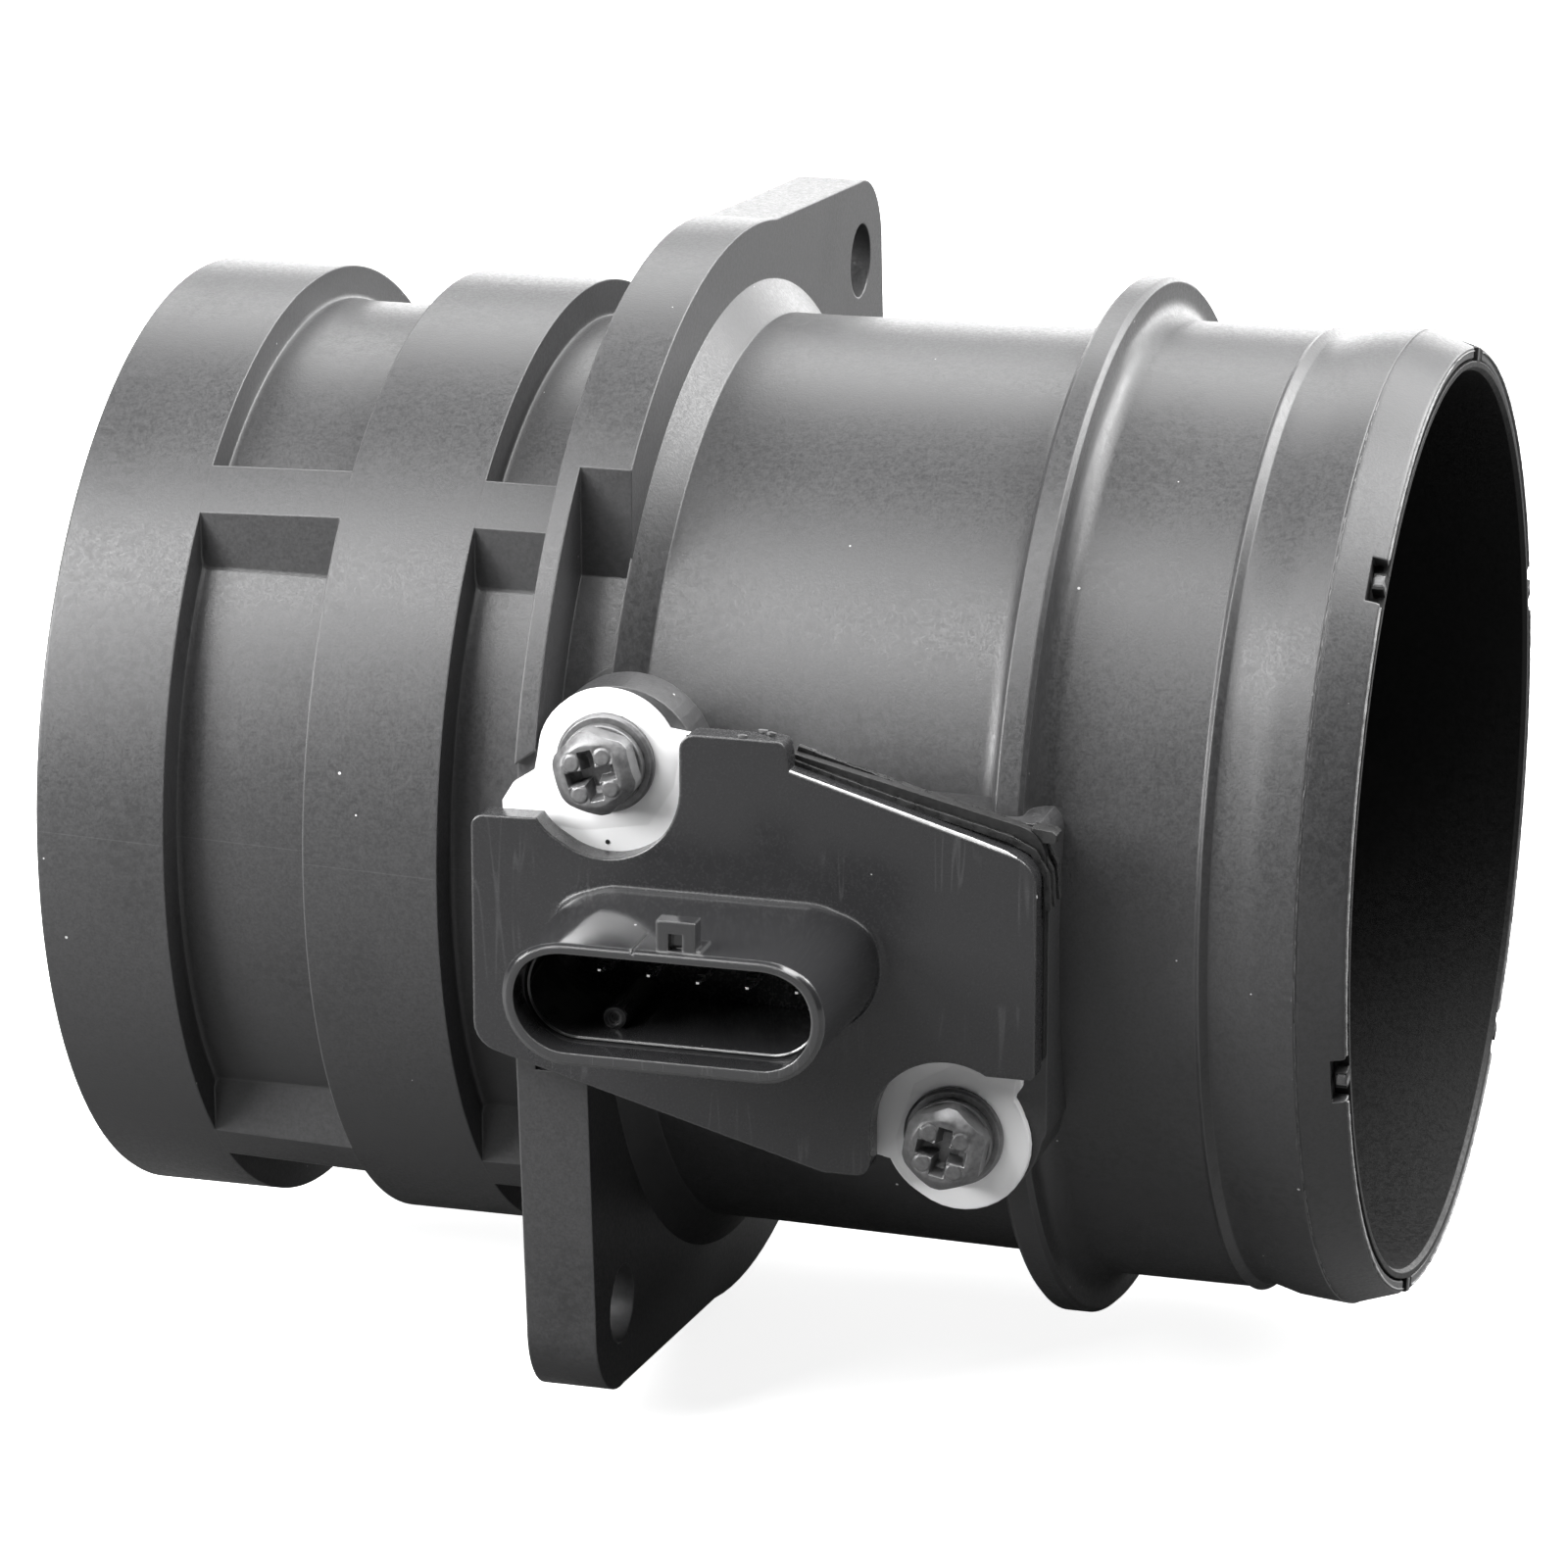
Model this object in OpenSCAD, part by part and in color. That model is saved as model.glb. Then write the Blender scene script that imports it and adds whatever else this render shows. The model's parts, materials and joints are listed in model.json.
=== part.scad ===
/* [Tube] */
// Outside radius of the tube next to the flange
tube_r = 41; // [40.5:0.1:41.5]
// Growth of that radius towards the hose stop
tube_draft = 0.45; // [0:0.05:0.6]
// Length of the tube from the flange's seating face to the hose stop
tube_len = 40.9; // [40.5:0.1:44]
// Wall of the tube next to the hose stop
tube_wall = 2.3; // [2:0.1:3.5]
// Wall of the recess next to the flange, at the narrowest place of the air passage
throat_wall = 1.8; // [1.6:0.1:2.8]
// Wall of the end band at the filter box end
band_wall = 5.55; // [5.25:0.1:6.25]
// Small edge break on the open ends and the rims
edge_break = 0.4; // [0.1:0.05:0.5]

/* [Hose end] */
// Outside radius of the hose spigot
spigot_r = 42.6; // [42.4:0.1:43]
// Length of the spigot from the hose stop to its end face
spigot_len = 27.25; // [26.5:0.25:32]
// Wall of the spigot round the insert
spigot_wall = 1.75; // [1.7:0.05:2.2]
// How much less the radius of the end face is than the spigot's
end_drop = 0.6; // [0.3:0.1:0.7]
// Height of the hose stop above the spigot
stop_rise = 3.75; // [2.5:0.05:5]
// Thickness of the hose stop
stop_t = 2.7; // [2:0.1:3.5]
// Fillet at the foot of the hose stop
stop_fillet = 2; // [1:0.1:2.2]
// Height of the hose bead above the spigot
bead_rise = 0.65; // [0.3:0.05:1]
// Distance of the bead's crest from the end face
bead_back = 4.25; // [3.5:0.25:5]
// Distance of the small step before the bead from the end face
step_back = 12.5; // [12:0.25:14]

/* [Filter box end] */
// Outside radius of the end band
band_1_r = 42.75; // [42:0.05:43]
// Width of the end band
band_1_w = 11.95; // [9:0.05:14]
// Outside radius of the middle band
band_2_r = 43.05; // [42.8:0.05:43.5]
// Width of the middle band
band_2_w = 12.25; // [9:0.05:14]
// Radius of the recess between the bands
recess_1_r = 39.6; // [39.2:0.1:40]
// Width of the recess between the bands
recess_1_w = 12.95; // [10:0.05:15]
// Radius of the recess next to the flange
recess_2_r = 37.6; // [37.5:0.05:38.5]
// Width of the recess next to the flange
recess_2_w = 8.7; // [6:0.1:10]
// Distance across the square core that leaves the four ribs
rib_square = 63.6; // [62:0.1:64]

/* [Flange] */
// Thickness of the flange plate
flange_t = 6.3; // [5.5:0.1:7]
// Radius of the round part of the flange
flange_r = 49.4; // [49:0.1:52]
// Thickness of the thin rim beside the flange pockets
flange_rim_t = 1.7; // [1.2:0.1:2.5]
// Radius of the ground inside the flange pockets
pocket_r = 43; // [42.5:0.1:44]
// Distance of the pockets' straight walls from the axis
pocket_wall = 34.1; // [33:0.1:35]
// Half height of a pocket below the middle plane
pocket_low = 14; // [12:0.5:16]
// Pitch circle diameter of the two fixing holes
bolt_pcd = 108.6; // [107:0.2:112]
// Diameter of the fixing holes
bolt_hole_d = 7; // [6:0.1:8]
// Radius of the ears round the fixing holes
ear_r = 7.6; // [7:0.1:9]
// Radius of the blend between the flange and the tube
neck_r = 44; // [43.5:0.1:45]
// Width of the blend between the flange and the tube
neck_w = 2.2; // [1.5:0.1:3]

/* [Insert] */
// Wall of the insert
insert_wall = 0.8; // [0.6:0.05:0.85]
// Clearance round the insert
insert_fit = 0.15; // [0.05:0.05:0.2]
// Width of the step that the insert seats on, inside its bore
seat_step = 1.2; // [1:0.1:1.6]
// Number of lugs that lock the insert
lug_count = 6; // [3:1:8]
// Width of a lug round the rim
lug_w = 1.5; // [1:0.1:2]
// Width of the notch that a lug locks in
notch_w = 4.8; // [4:0.1:6]
// Depth of the notches
notch_depth = 1.2; // [0.8:0.1:1.6]
// Distance across the flats of a honeycomb cell
cell_w = 6.9; // [6.5:0.1:8]
// Thickness of the honeycomb walls
cell_wall = 0.7; // [0.5:0.05:1]
// Depth of the honeycomb
grid_depth = 8; // [5:0.5:10]
// Thickness of the screen
screen_t = 0.6; // [0.4:0.1:1]
// Width of a gap in the screen
mesh_gap = 6.2; // [5.8:0.1:7]
// Width of a wire in the screen
mesh_wire = 0.8; // [0.6:0.1:1.2]

/* [Sensor module] */
// Place of the module's middle along the tube
module_x = 23.9; // [23.5:0.1:24.4]
// Height of the module's middle
module_z = -1.2; // [-1.6:0.1:-0.8]
// Distance between the screws along the tube
screw_dx = 30; // [29:0.1:30.6]
// Distance between the screws across the tube
screw_dz = 28.6; // [28:0.1:29.4]
// Height of the pad's face above the hose stop
pad_over = 0.25; // [0.2:0.05:1]
// Radius of the screw bosses on the pad
boss_r = 7.2; // [6.9:0.1:7.4]
// Thickness of the metal plate
plate_t = 1; // [0.8:0.1:1.5]
// Radius of the metal ears round the screws
plate_ear_r = 6.2; // [5.6:0.1:6.3]
// Thickness of the seal frame under the cover
frame_t = 1; // [0.8:0.1:1.4]
// Thickness of the cover
cover_t = 2.4; // [2.2:0.1:3]
// Length of the cover along the tube
cover_len = 49.2; // [48.6:0.1:49.8]
// Distance of the cover's left edge from the module's middle
cover_back = 26.7; // [26.3:0.1:27]
// Distance of the cover's left shoulder below the upper screw
left_drop = 3.1; // [2.8:0.1:3.4]
// Distance of the cover's right shoulder above the lower screw
right_lift = 5.8; // [5.4:0.1:6.2]
// Reach of the cover's upper edge beyond the upper screw
upper_len = 15.8; // [15:0.1:16.5]
// Height of the cover's upper edge above the upper screw
upper_rise = 4.8; // [4.4:0.1:5.2]
// Height of the slanted edge's start above the upper screw
slant_rise = 2.3; // [2:0.1:2.6]
// Reach of the cover's lower edge before the lower screw
lower_len = 10.8; // [10.2:0.1:11.4]
// Depth of the cover's lower edge below the lower screw
lower_drop = 4.1; // [3.8:0.1:4.5]
// Height of the cover's right corner above the module's middle
corner_rise = 10.3; // [9.8:0.1:10.8]
// Depth of the cover's left corner below the module's middle
corner_drop = 9.8; // [9.3:0.1:10.2]
// Radius of the cover's cut-outs round the screws
cutout_r = 6.7; // [6.5:0.1:6.9]
// Length of the window for the wires through the metal plate
neck_len = 12; // [10:0.5:16]
// Width of that window
neck_t = 6; // [5:0.5:8]
// Depth of the bay under the cover
bay_depth = 1.2; // [1.1:0.05:1.4]
// Length of the circuit board
board_len = 33; // [30:0.5:35]
// Width of the circuit board
board_w = 11.6; // [11:0.1:12]
// Thickness of the circuit board
board_t = 0.8; // [0.6:0.05:0.95]

/* [Connector] */
// Length of the hood's rim
hood_len = 27.7; // [27.3:0.1:28.5]
// Width of the hood's rim
hood_w = 11.4; // [11.2:0.1:12]
// Wall of the hood
hood_wall = 1.2; // [1:0.05:1.4]
// Height of the hood above the cover
hood_h = 15.5; // [13:0.5:18]
// How much wider the hood is at its foot
hood_draft = 0.35; // [0:0.05:0.4]
// Fillet at the hood's foot
hood_fillet = 0.8; // [0.4:0.1:1]
// Distance between terminals
pin_pitch = 4.27; // [3.9:0.01:4.4]
// Width of a terminal
pin_w = 1; // [0.6:0.1:1.2]
// Thickness of a terminal
pin_t = 0.8; // [0.5:0.1:1]
// Distance of the terminals' tips below the rim
pin_setback = 6.7; // [6:0.1:8]
// Width of the coding key on the hood
key_w = 3.4; // [2.5:0.1:4]
// Height of the coding key above the hood
key_rise = 1.5; // [1:0.1:2]
// Length of the coding key from the rim
key_len = 3.6; // [3:0.1:6]

/* [Probe] */
// Depth of the probe's collar under the pad's face
collar_len = 8; // [7.6:0.1:8.4]
// Half distance between the round ends of the collar
collar_half = 10; // [9:0.1:10.5]
// Radius of the slot's round ends
slot_r = 6.5; // [6:0.1:6.6]
// Width of the seat round the slot
seat_w = 2.4; // [2:0.1:2.5]
// Depth of the seat under the pad's face
seat_depth = 2; // [1.5:0.1:2.4]
// Section diameter of the seal ring
ring_d = 1.8; // [1.4:0.1:2]
// Length of the probe's blade along the tube
blade_len = 18.4; // [17.5:0.1:19]
// Thickness of the blade
blade_t = 8; // [7.5:0.1:8.6]
// Distance of the blade's tip from the axis
tip_y = 8; // [6:0.5:10]
// Width of the air channel in the blade
channel_w = 6; // [5.5:0.1:6.3]
// Wall between the channel and the blade's back
channel_wall = 1.2; // [1:0.1:1.6]
// Thickness of the channel's lid
lid_t = 1; // [0.8:0.1:1.2]
// Radius of the air temperature bead
bead_r = 1.5; // [1:0.1:1.6]
// Length of the bead's leads
bead_leads = 7; // [5:0.5:8]
// Distance of the bead's leads from the blade
bead_gap = 3.2; // [3:0.1:3.4]

/* [Fasteners] */
// Diameter of the screws
screw_d = 4; // [3:0.5:4]
// Length of the screws under the head
screw_len = 9.4; // [8.5:0.1:9.6]
// Distance across the flats of a screw head
head_af = 6.8; // [6:0.1:7]
// Height of a screw head
head_h = 2.9; // [2.4:0.1:3.4]
// Outside radius of a flat washer
washer_r = 4.3; // [4:0.1:4.6]
// Thickness of a flat washer
washer_t = 0.8; // [0.6:0.1:1]
// Thickness of a spring washer
spring_t = 1; // [0.8:0.1:1.2]
// Outside radius of a threaded insert
thread_insert_r = 3.1; // [2.8:0.1:3.3]
// Length of a threaded insert
thread_insert_len = 7; // [5:0.5:7]

/* [Hidden] */

// Number of terminals
pin_count = 5;
// Facets of the large and the small round forms
big = 160;
small = 48;
// Overshoot of a cut past a face
past = 1;
// Clearance of moulded-in and nested pieces
fit = 0.05;
loose = 0.2;

// Places along the tube, from the flange's seating face
stop_x = tube_len;
stop_end = stop_x + stop_t;
end_x = stop_end + spigot_len;
recess_2_x = -recess_2_w;
band_2_x = recess_2_x - band_2_w;
recess_1_x = band_2_x - recess_1_w;
start_x = recess_1_x - band_1_w;
rib_r = band_1_r - 0.15;
ear_sink = 0.05;
foot_r = tube_r + tube_draft;
stop_r = spigot_r + stop_rise;
end_r = spigot_r - end_drop;
throat_r = recess_2_r - throat_wall;
exit_r = band_1_r - band_wall;
step_x = end_x - step_back;
bead_x = end_x - bead_back;

// Insert and screen, seated on a step under the hose stop
pocket_bore = spigot_r - spigot_wall;
insert_outer = pocket_bore - insert_fit;
insert_r = insert_outer - insert_wall;
entry_r = min(tube_r - tube_wall, insert_r - seat_step);
seat_x = stop_x + 0.5;
screen_x = seat_x;
grid_x = screen_x + screen_t + 0.1;
insert_end = end_x - 0.1;
lug_reach = end_r - 0.1;

// Depths of the module, measured from the tube's axis towards the connector
pad_y = stop_r + pad_over;
pad_foot = tube_r - 8;
plate_y = pad_y + plate_t;
frame_y = plate_y + frame_t;
cover_y = frame_y + cover_t;
rim_y = cover_y + hood_h;
tip_of_pins = rim_y - pin_setback;
board_y = plate_y + board_t;
bay_y = frame_y + bay_depth;

// Screws, in the module's plan
up = [module_x - screw_dx / 2, module_z + screw_dz / 2];
low = [module_x + screw_dx / 2, module_z - screw_dz / 2];
hood_at = [module_x - 5.2, module_z + 0.15];
board_at = [hood_at[0] + 2, hood_at[1]];
hood_half = (hood_len - hood_w) / 2;
hood_r = hood_w / 2;
collar_r = slot_r - loose;
collar_y = pad_y - collar_len;

// Cover outline
cover_l = module_x - cover_back;
cover_r = cover_l + cover_len;
left_shoulder = up[1] - left_drop;
right_shoulder = low[1] + right_lift;
upper_end = up[0] + upper_len;
upper_top = up[1] + upper_rise;
upper_slant = up[1] + slant_rise;
lower_start = low[0] - lower_len;
lower_top = low[1] - lower_drop;
right_corner = module_z + corner_rise;
left_corner = module_z - corner_drop;
skirt = 1.2;

// Blade of the probe
blade_l = hood_at[0] - blade_len / 2;
blade_r = hood_at[0] + blade_len / 2;
blade_z = hood_at[1] - blade_t / 2;
lid_z = blade_z + blade_t - lid_t;
lid_edge = 1.6;
channel_z = blade_z + channel_wall;
channel_low = tip_y + 3;
channel_high = collar_y - 4.6;
riser_l = blade_l + 3;
riser_r = riser_l + channel_w;
bead_at = [blade_r + bead_gap, hood_at[1]];

// Corner arcs: each corner of an outline is replaced by a few points on its rounding
function unit(v) = v / norm(v);
function corner(a, b, c, r, n) =
  let (u = unit(a - b), w = unit(c - b), half = acos(max(-1, min(1, u * w))) / 2)
  let (m = b + unit(u + w) * r / sin(half), p = b + u * r / tan(half), q = b + w * r / tan(half))
  let (s = p - m, e = q - m, sweep = 180 - 2 * half, turn = s[0] * e[1] - s[1] * e[0] > 0 ? 1 : -1)
  [for (i = [0:n]) let (t = turn * sweep * i / n)
    m + [s[0] * cos(t) - s[1] * sin(t), s[0] * sin(t) + s[1] * cos(t)]];
function soft(pts, radii, n = 5) =
  let (k = len(pts))
  [for (i = [0:k - 1])
    each (radii[i] > 0 ? corner(pts[(i + k - 1) % k], pts[i], pts[(i + 1) % k], radii[i], n) : [pts[i]])];

// Concave fillet between a cylinder of radius r and a wall that stands on it, to the wall's left or right
function foot_left(x, r, f, n = 6) = [for (i = [0:n]) let (a = 90 * i / n)
  [r + f - f * cos(a), x - f + f * sin(a)]];
function foot_right(x, r, f, n = 6) = [for (i = [n:-1:0]) let (a = 90 * i / n)
  [r + f - f * cos(a), x + f - f * sin(a)]];

// Outline of a round ear joined to the flange's circle by two tangents
function ear_points() =
  let (d = bolt_pcd / 2, big_r = flange_r - 8 * ear_sink, small_r = ear_r - ear_sink)
  let (a = acos((big_r - small_r) / d), u = [for (s = [-1, 1]) [cos(a), s * sin(a)]])
  [[0, 0], u[0] * big_r, [d, 0] + u[0] * small_r, [d, 0] + u[1] * small_r, u[1] * big_r];

module revolve(points) {
  rotate([0, 90, 0]) rotate_extrude($fn = big) polygon(points);
}
module disc(x, w, r) {
  translate([x, 0, 0]) rotate([0, 90, 0]) cylinder(r = r, h = w, $fn = big);
}
module plan(depth, h) {
  rotate([90, 0, 0]) translate([0, 0, depth]) linear_extrude(h) children();
}
module stadium(half, r) {
  square([2 * half, 2 * r], center = true);
  for (s = [-1, 1]) translate([s * half, 0]) circle(r = r, $fn = small);
}
module sweep_stadium(half, at, depth) {
  rotate([90, 0, 0]) translate([at[0], at[1], depth]) {
    for (s = [-1, 1]) translate([s * half, 0, 0]) rotate(-s * 90) rotate_extrude(angle = 180, $fn = small) children();
    rotate([90, 0, 90]) translate([0, 0, -half]) linear_extrude(2 * half) {
      children();
      mirror([1, 0]) children();
    }
  }
}
module at_screws() {
  for (p = [up, low]) translate([p[0], p[1]]) children();
}

// Outlines in the module's plan. A layer's outline is the cover's, drawn in by inset and out by lip
module layer_outline(inset, lip, cut) {
  l = cover_l + inset;
  r = cover_r + lip / 5;
  tongue_l = up[0] + cut;
  tongue_r = low[0] - cut;
  difference() {
    polygon(soft([
      [l, left_corner + inset / 2], [l, left_shoulder - inset], [up[0], left_shoulder - inset], up,
      [tongue_l, up[1]], [tongue_l, upper_top - inset], [upper_end - inset, upper_top - inset],
      [upper_end - inset + 0.4, upper_slant + lip], [r, right_corner + 2 * lip],
      [r, right_shoulder + inset], [low[0], right_shoulder + inset], low, [tongue_r, low[1]],
      [tongue_r, lower_top + inset], [lower_start, lower_top + inset]],
      [2.6, 1, 0, 0, 0, 1.3, 0.8, 0, 2.8, 0.5, 0, 0, 0, 1.2, 1.6]));
    at_screws() circle(r = cut, $fn = small);
  }
}
module plate_body() {
  polygon(soft([
    [cover_l + 1.6, left_corner + 1.2], [cover_l + 1.6, left_shoulder - 0.4], [up[0] - 5.4, up[1] - 0.6],
    [up[0], up[1] + 2], [up[0] + cutout_r - 0.4, upper_top - 1.5], [upper_end - 1.2, upper_top - 1.5],
    [upper_end - 0.8, upper_slant - 1.2], [cover_r - 1.2, right_corner - 1],
    [cover_r - 1.9, right_shoulder - 1.5], [low[0], low[1] - 2], [low[0] - cutout_r + 0.4, lower_top + 1.4],
    [lower_start + 0.6, lower_top + 1.4]],
    [1.5, 1.2, 1, 0, 0.4, 1, 0, 2, 0.3, 0, 0.8, 1]));
}
module pad_body() {
  polygon(soft([
    [cover_l + 1.2, left_corner - 1], [cover_l + 1.2, left_shoulder], [up[0], up[1] + 2],
    [upper_end, upper_top - 0.4], [cover_r, right_corner + 2],
    [cover_r, low[1] - 2], [low[0], low[1] - 2], [lower_start, lower_top - 0.4]],
    [2, 2, 0, 1, 2, 2, 0, 1]));
}

// Housing: outside forms, then the passage and the cuts
module core(w, x) {
  translate([x, -w / 2, -w / 2]) cube([past - x, w, w]);
}
module filter_end() {
  revolve([[0, start_x], [band_1_r - edge_break, start_x], [band_1_r, start_x + edge_break],
    [band_1_r, recess_1_x], [recess_1_r + 0.6, recess_1_x], [recess_1_r, recess_1_x + 0.6],
    [recess_1_r, band_2_x], [band_2_r, band_2_x], [band_2_r, recess_2_x],
    [recess_2_r + 1, recess_2_x], [recess_2_r, recess_2_x + 1.3], [recess_2_r, past], [0, past]]);
  intersection() {
    core(rib_square, start_x + band_1_w / 2);
    rotate([45, 0, 0]) core(2 * rib_r, start_x);
  }
}
module hose_end() {
  revolve(concat(
    [[0, past], [recess_2_r, past], [recess_2_r, flange_t - past], [neck_r, flange_t - past],
      [neck_r, flange_t], [tube_r, flange_t + neck_w], [tube_r, flange_t + 3 * neck_w]],
    foot_left(stop_x, foot_r, stop_fillet + 0.2),
    [[stop_r - edge_break, stop_x], [stop_r, stop_x + edge_break], [stop_r, stop_end - edge_break],
      [stop_r - edge_break, stop_end]],
    foot_right(stop_end, spigot_r, stop_fillet),
    [[spigot_r, step_x - 0.4], [spigot_r + 0.25, step_x], [spigot_r - 0.35, step_x + 0.7],
      [spigot_r - 0.4, step_x + 1.7], [spigot_r + 0.25, step_x + 4], [spigot_r + 0.3, step_x + 4.2],
      [spigot_r + 0.4, step_x + 5.5], [spigot_r + bead_rise, bead_x], [end_r, end_x], [0, end_x]]));
}
module flange_plate() {
  rotate([45, 0, 0]) rotate([90, 0, 90]) linear_extrude(flange_t) {
    circle(r = flange_r, $fn = big);
    for (side = [0, 180]) rotate(side) {
      polygon(ear_points());
      translate([bolt_pcd / 2, 0]) circle(r = ear_r, $fn = small);
    }
  }
}
module flange_pockets() {
  for (side = [0, 180]) rotate([side, 0, 0]) difference() {
    translate([flange_rim_t, -flange_r - past, -pocket_low])
      cube([flange_t + neck_w - 0.2 - flange_rim_t, flange_r + past - pocket_wall, pocket_low + flange_r]);
    disc(0, flange_t, pocket_r);
    disc(flange_t - past, neck_w + 2 * past, recess_2_r);
  }
}
module module_clearance() {
  plan(pad_y, max(flange_r - pad_y, 0) + 2 * cover_t) polygon([
    [cover_l - past, left_corner - 0.5], [cover_l - past, left_shoulder + 0.4],
    [cover_l + 1.4, left_shoulder + 0.6], [up[0] - 5.2, up[1] + 0.2], up, [up[0], left_corner - 3]]);
}
module passage() {
  revolve([[0, start_x - past], [exit_r + 1.2, start_x - past], [exit_r + 1.2, start_x], [exit_r, start_x + 2],
    [throat_r, recess_2_x], [throat_r, flange_t - 2], [entry_r, seat_x - 1.4], [entry_r, seat_x],
    [pocket_bore, seat_x], [pocket_bore, end_x + past], [0, end_x + past]]);
}
module rim_notches() {
  for (i = [0:lug_count - 1]) rotate([-15 + i * 360 / lug_count, 0, 0])
    translate([end_x - notch_depth, -end_r - past, -notch_w / 2])
      cube([notch_depth + past, end_r + past - insert_r, notch_w]);
}
module bolt_holes() {
  for (side = [-1, 1]) rotate([-45, 0, 0]) translate([-past, 0, side * bolt_pcd / 2]) rotate([0, 90, 0])
    cylinder(d = bolt_hole_d, h = flange_t + 2 * past, $fn = small);
}
module tube_housing() {
  color("dimgray") difference() {
    union() {
      filter_end();
      difference() {
        union() {
          flange_plate();
          hose_end();
        }
        flange_pockets();
      }
      plan(pad_foot, pad_y - pad_foot) pad_body();
      plan(pad_foot, pad_y - pad_foot) at_screws() circle(r = boss_r, $fn = small);
    }
    module_clearance();
    passage();
    rim_notches();
    bolt_holes();
    plan(throat_r - 6, pad_y) translate(hood_at) stadium(collar_half, slot_r);
    plan(pad_y - seat_depth, seat_depth + past) translate(hood_at) stadium(collar_half, slot_r + seat_w);
    plan(pad_y - thread_insert_len - 0.8, thread_insert_len + 2) at_screws()
      circle(r = thread_insert_r + fit, $fn = small);
  }
}

module threaded_inserts() {
  color("goldenrod") plan(pad_y - thread_insert_len, thread_insert_len) at_screws() difference() {
    circle(r = thread_insert_r, $fn = small);
    circle(d = screw_d, $fn = small);
  }
}

// Insert with the honeycomb and the lugs that lock in the rim's notches
cell_pitch = cell_w + cell_wall;
cell_reach = insert_r + 0.2 * cell_w;
module honeycomb_cells() {
  rows = ceil(insert_r / (cell_pitch * sin(60)));
  for (j = [-rows:rows], i = [-rows - 1:rows + 1])
    let (p = [(i + (j % 2 == 0 ? 0 : 0.5)) * cell_pitch, j * cell_pitch * sin(60)])
      if (norm(p) < cell_reach) translate(p) rotate(30) circle(d = cell_w / cos(30), $fn = 6);
}
module flow_grid() {
  color("dimgray") {
    revolve([[insert_r, grid_x], [insert_outer, grid_x], [insert_outer, insert_end],
      [insert_r + 0.3, insert_end], [insert_r, insert_end - 0.4]]);
    translate([grid_x, 0, 0]) rotate([90, 0, 90]) linear_extrude(grid_depth) difference() {
      circle(r = insert_r + insert_wall / 2, $fn = big);
      intersection() {
        circle(r = insert_r - cell_wall / 2, $fn = big);
        honeycomb_cells();
      }
    }
    for (i = [0:lug_count - 1]) rotate([-15 + i * 360 / lug_count, 0, 0])
      translate([end_x - notch_depth + 0.1, -lug_reach, -lug_w / 2])
        cube([notch_depth - 0.2, lug_reach - insert_r - insert_wall / 2, lug_w]);
  }
}

module wire_screen() {
  mesh_pitch = mesh_gap + mesh_wire;
  mesh_r = entry_r - 0.6;
  half_rows = floor(mesh_r / mesh_pitch);
  color("silver") translate([screen_x, 0, 0]) rotate([90, 0, 90]) linear_extrude(screen_t) difference() {
    circle(r = insert_outer - 0.1, $fn = big);
    intersection() {
      circle(r = mesh_r, $fn = big);
      for (i = [-half_rows:half_rows], j = [-half_rows:half_rows])
        if (norm([i, j]) * mesh_pitch < mesh_r + mesh_gap / 4)
          translate([i * mesh_pitch, j * mesh_pitch]) square(mesh_gap, center = true);
    }
  }
}

module metal_plate() {
  color("white") difference() {
    union() {
      plan(pad_y, plate_t) plate_body();
      plan(pad_y, plate_t) at_screws() circle(r = plate_ear_r, $fn = small);
    }
    plan(pad_y - past, plate_t + 2 * past) {
      at_screws() circle(r = screw_d / 2 + loose, $fn = small);
      translate(hood_at) square([neck_len + 2 * loose, neck_t + 2 * loose], center = true);
    }
  }
}

module seal_frame() {
  color("dimgray") plan(plate_y, frame_t) difference() {
    layer_outline(0.8, 1, cutout_r + 0.5);
    translate(board_at) square([board_len + 2 * loose, board_w + 2 * loose], center = true);
  }
}

module hood_profile(r, fillet) {
  polygon([[0, 0], [r + hood_draft + fillet, 0], [r + hood_draft + 0.3 * fillet, 0.3 * fillet],
    [r + hood_draft, fillet], [r, hood_h - edge_break], [r - edge_break, hood_h], [0, hood_h]]);
}
module connector_cover() {
  color("dimgray") difference() {
    union() {
      plan(frame_y, cover_t) layer_outline(0, 0, cutout_r);
      sweep_stadium(hood_half, hood_at, cover_y) hood_profile(hood_r, hood_fillet);
      plan(rim_y - key_len, key_len - 0.6) translate([hood_at[0] + 1.5, hood_at[1] + hood_r]) {
        translate([-key_w / 2, -hood_wall]) square([key_w, hood_wall + key_rise]);
      }
    }
    plan(cover_y, hood_h + past) translate(hood_at) stadium(hood_half + 0.15, hood_r - hood_wall);
    plan(frame_y - past, bay_depth + past) translate(board_at)
      square([board_len - skirt, board_w - skirt], center = true);
    for (i = [1:pin_count]) pin_shape(i, fit);
  }
}

function pin_x(i) = hood_at[0] + 1.1 + (i - (pin_count + 1) / 2) * pin_pitch;
module pin_shape(i, gap) {
  w = pin_w + 2 * gap;
  t = pin_t + 2 * gap;
  translate([pin_x(i), 0, hood_at[1] + 0.55]) rotate([90, 0, 0]) translate([0, 0, board_y])
    rotate([90, 0, 0]) translate([0, 0, -t / 2]) linear_extrude(t)
      polygon([[-w / 2, 0], [w / 2, 0], [w / 2, tip_of_pins - board_y - 0.8],
        [w / 5, tip_of_pins - board_y], [-w / 5, tip_of_pins - board_y], [-w / 2, tip_of_pins - board_y - 0.8]]);
}
module terminal(i) {
  color("silver") pin_shape(i, 0);
}

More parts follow.
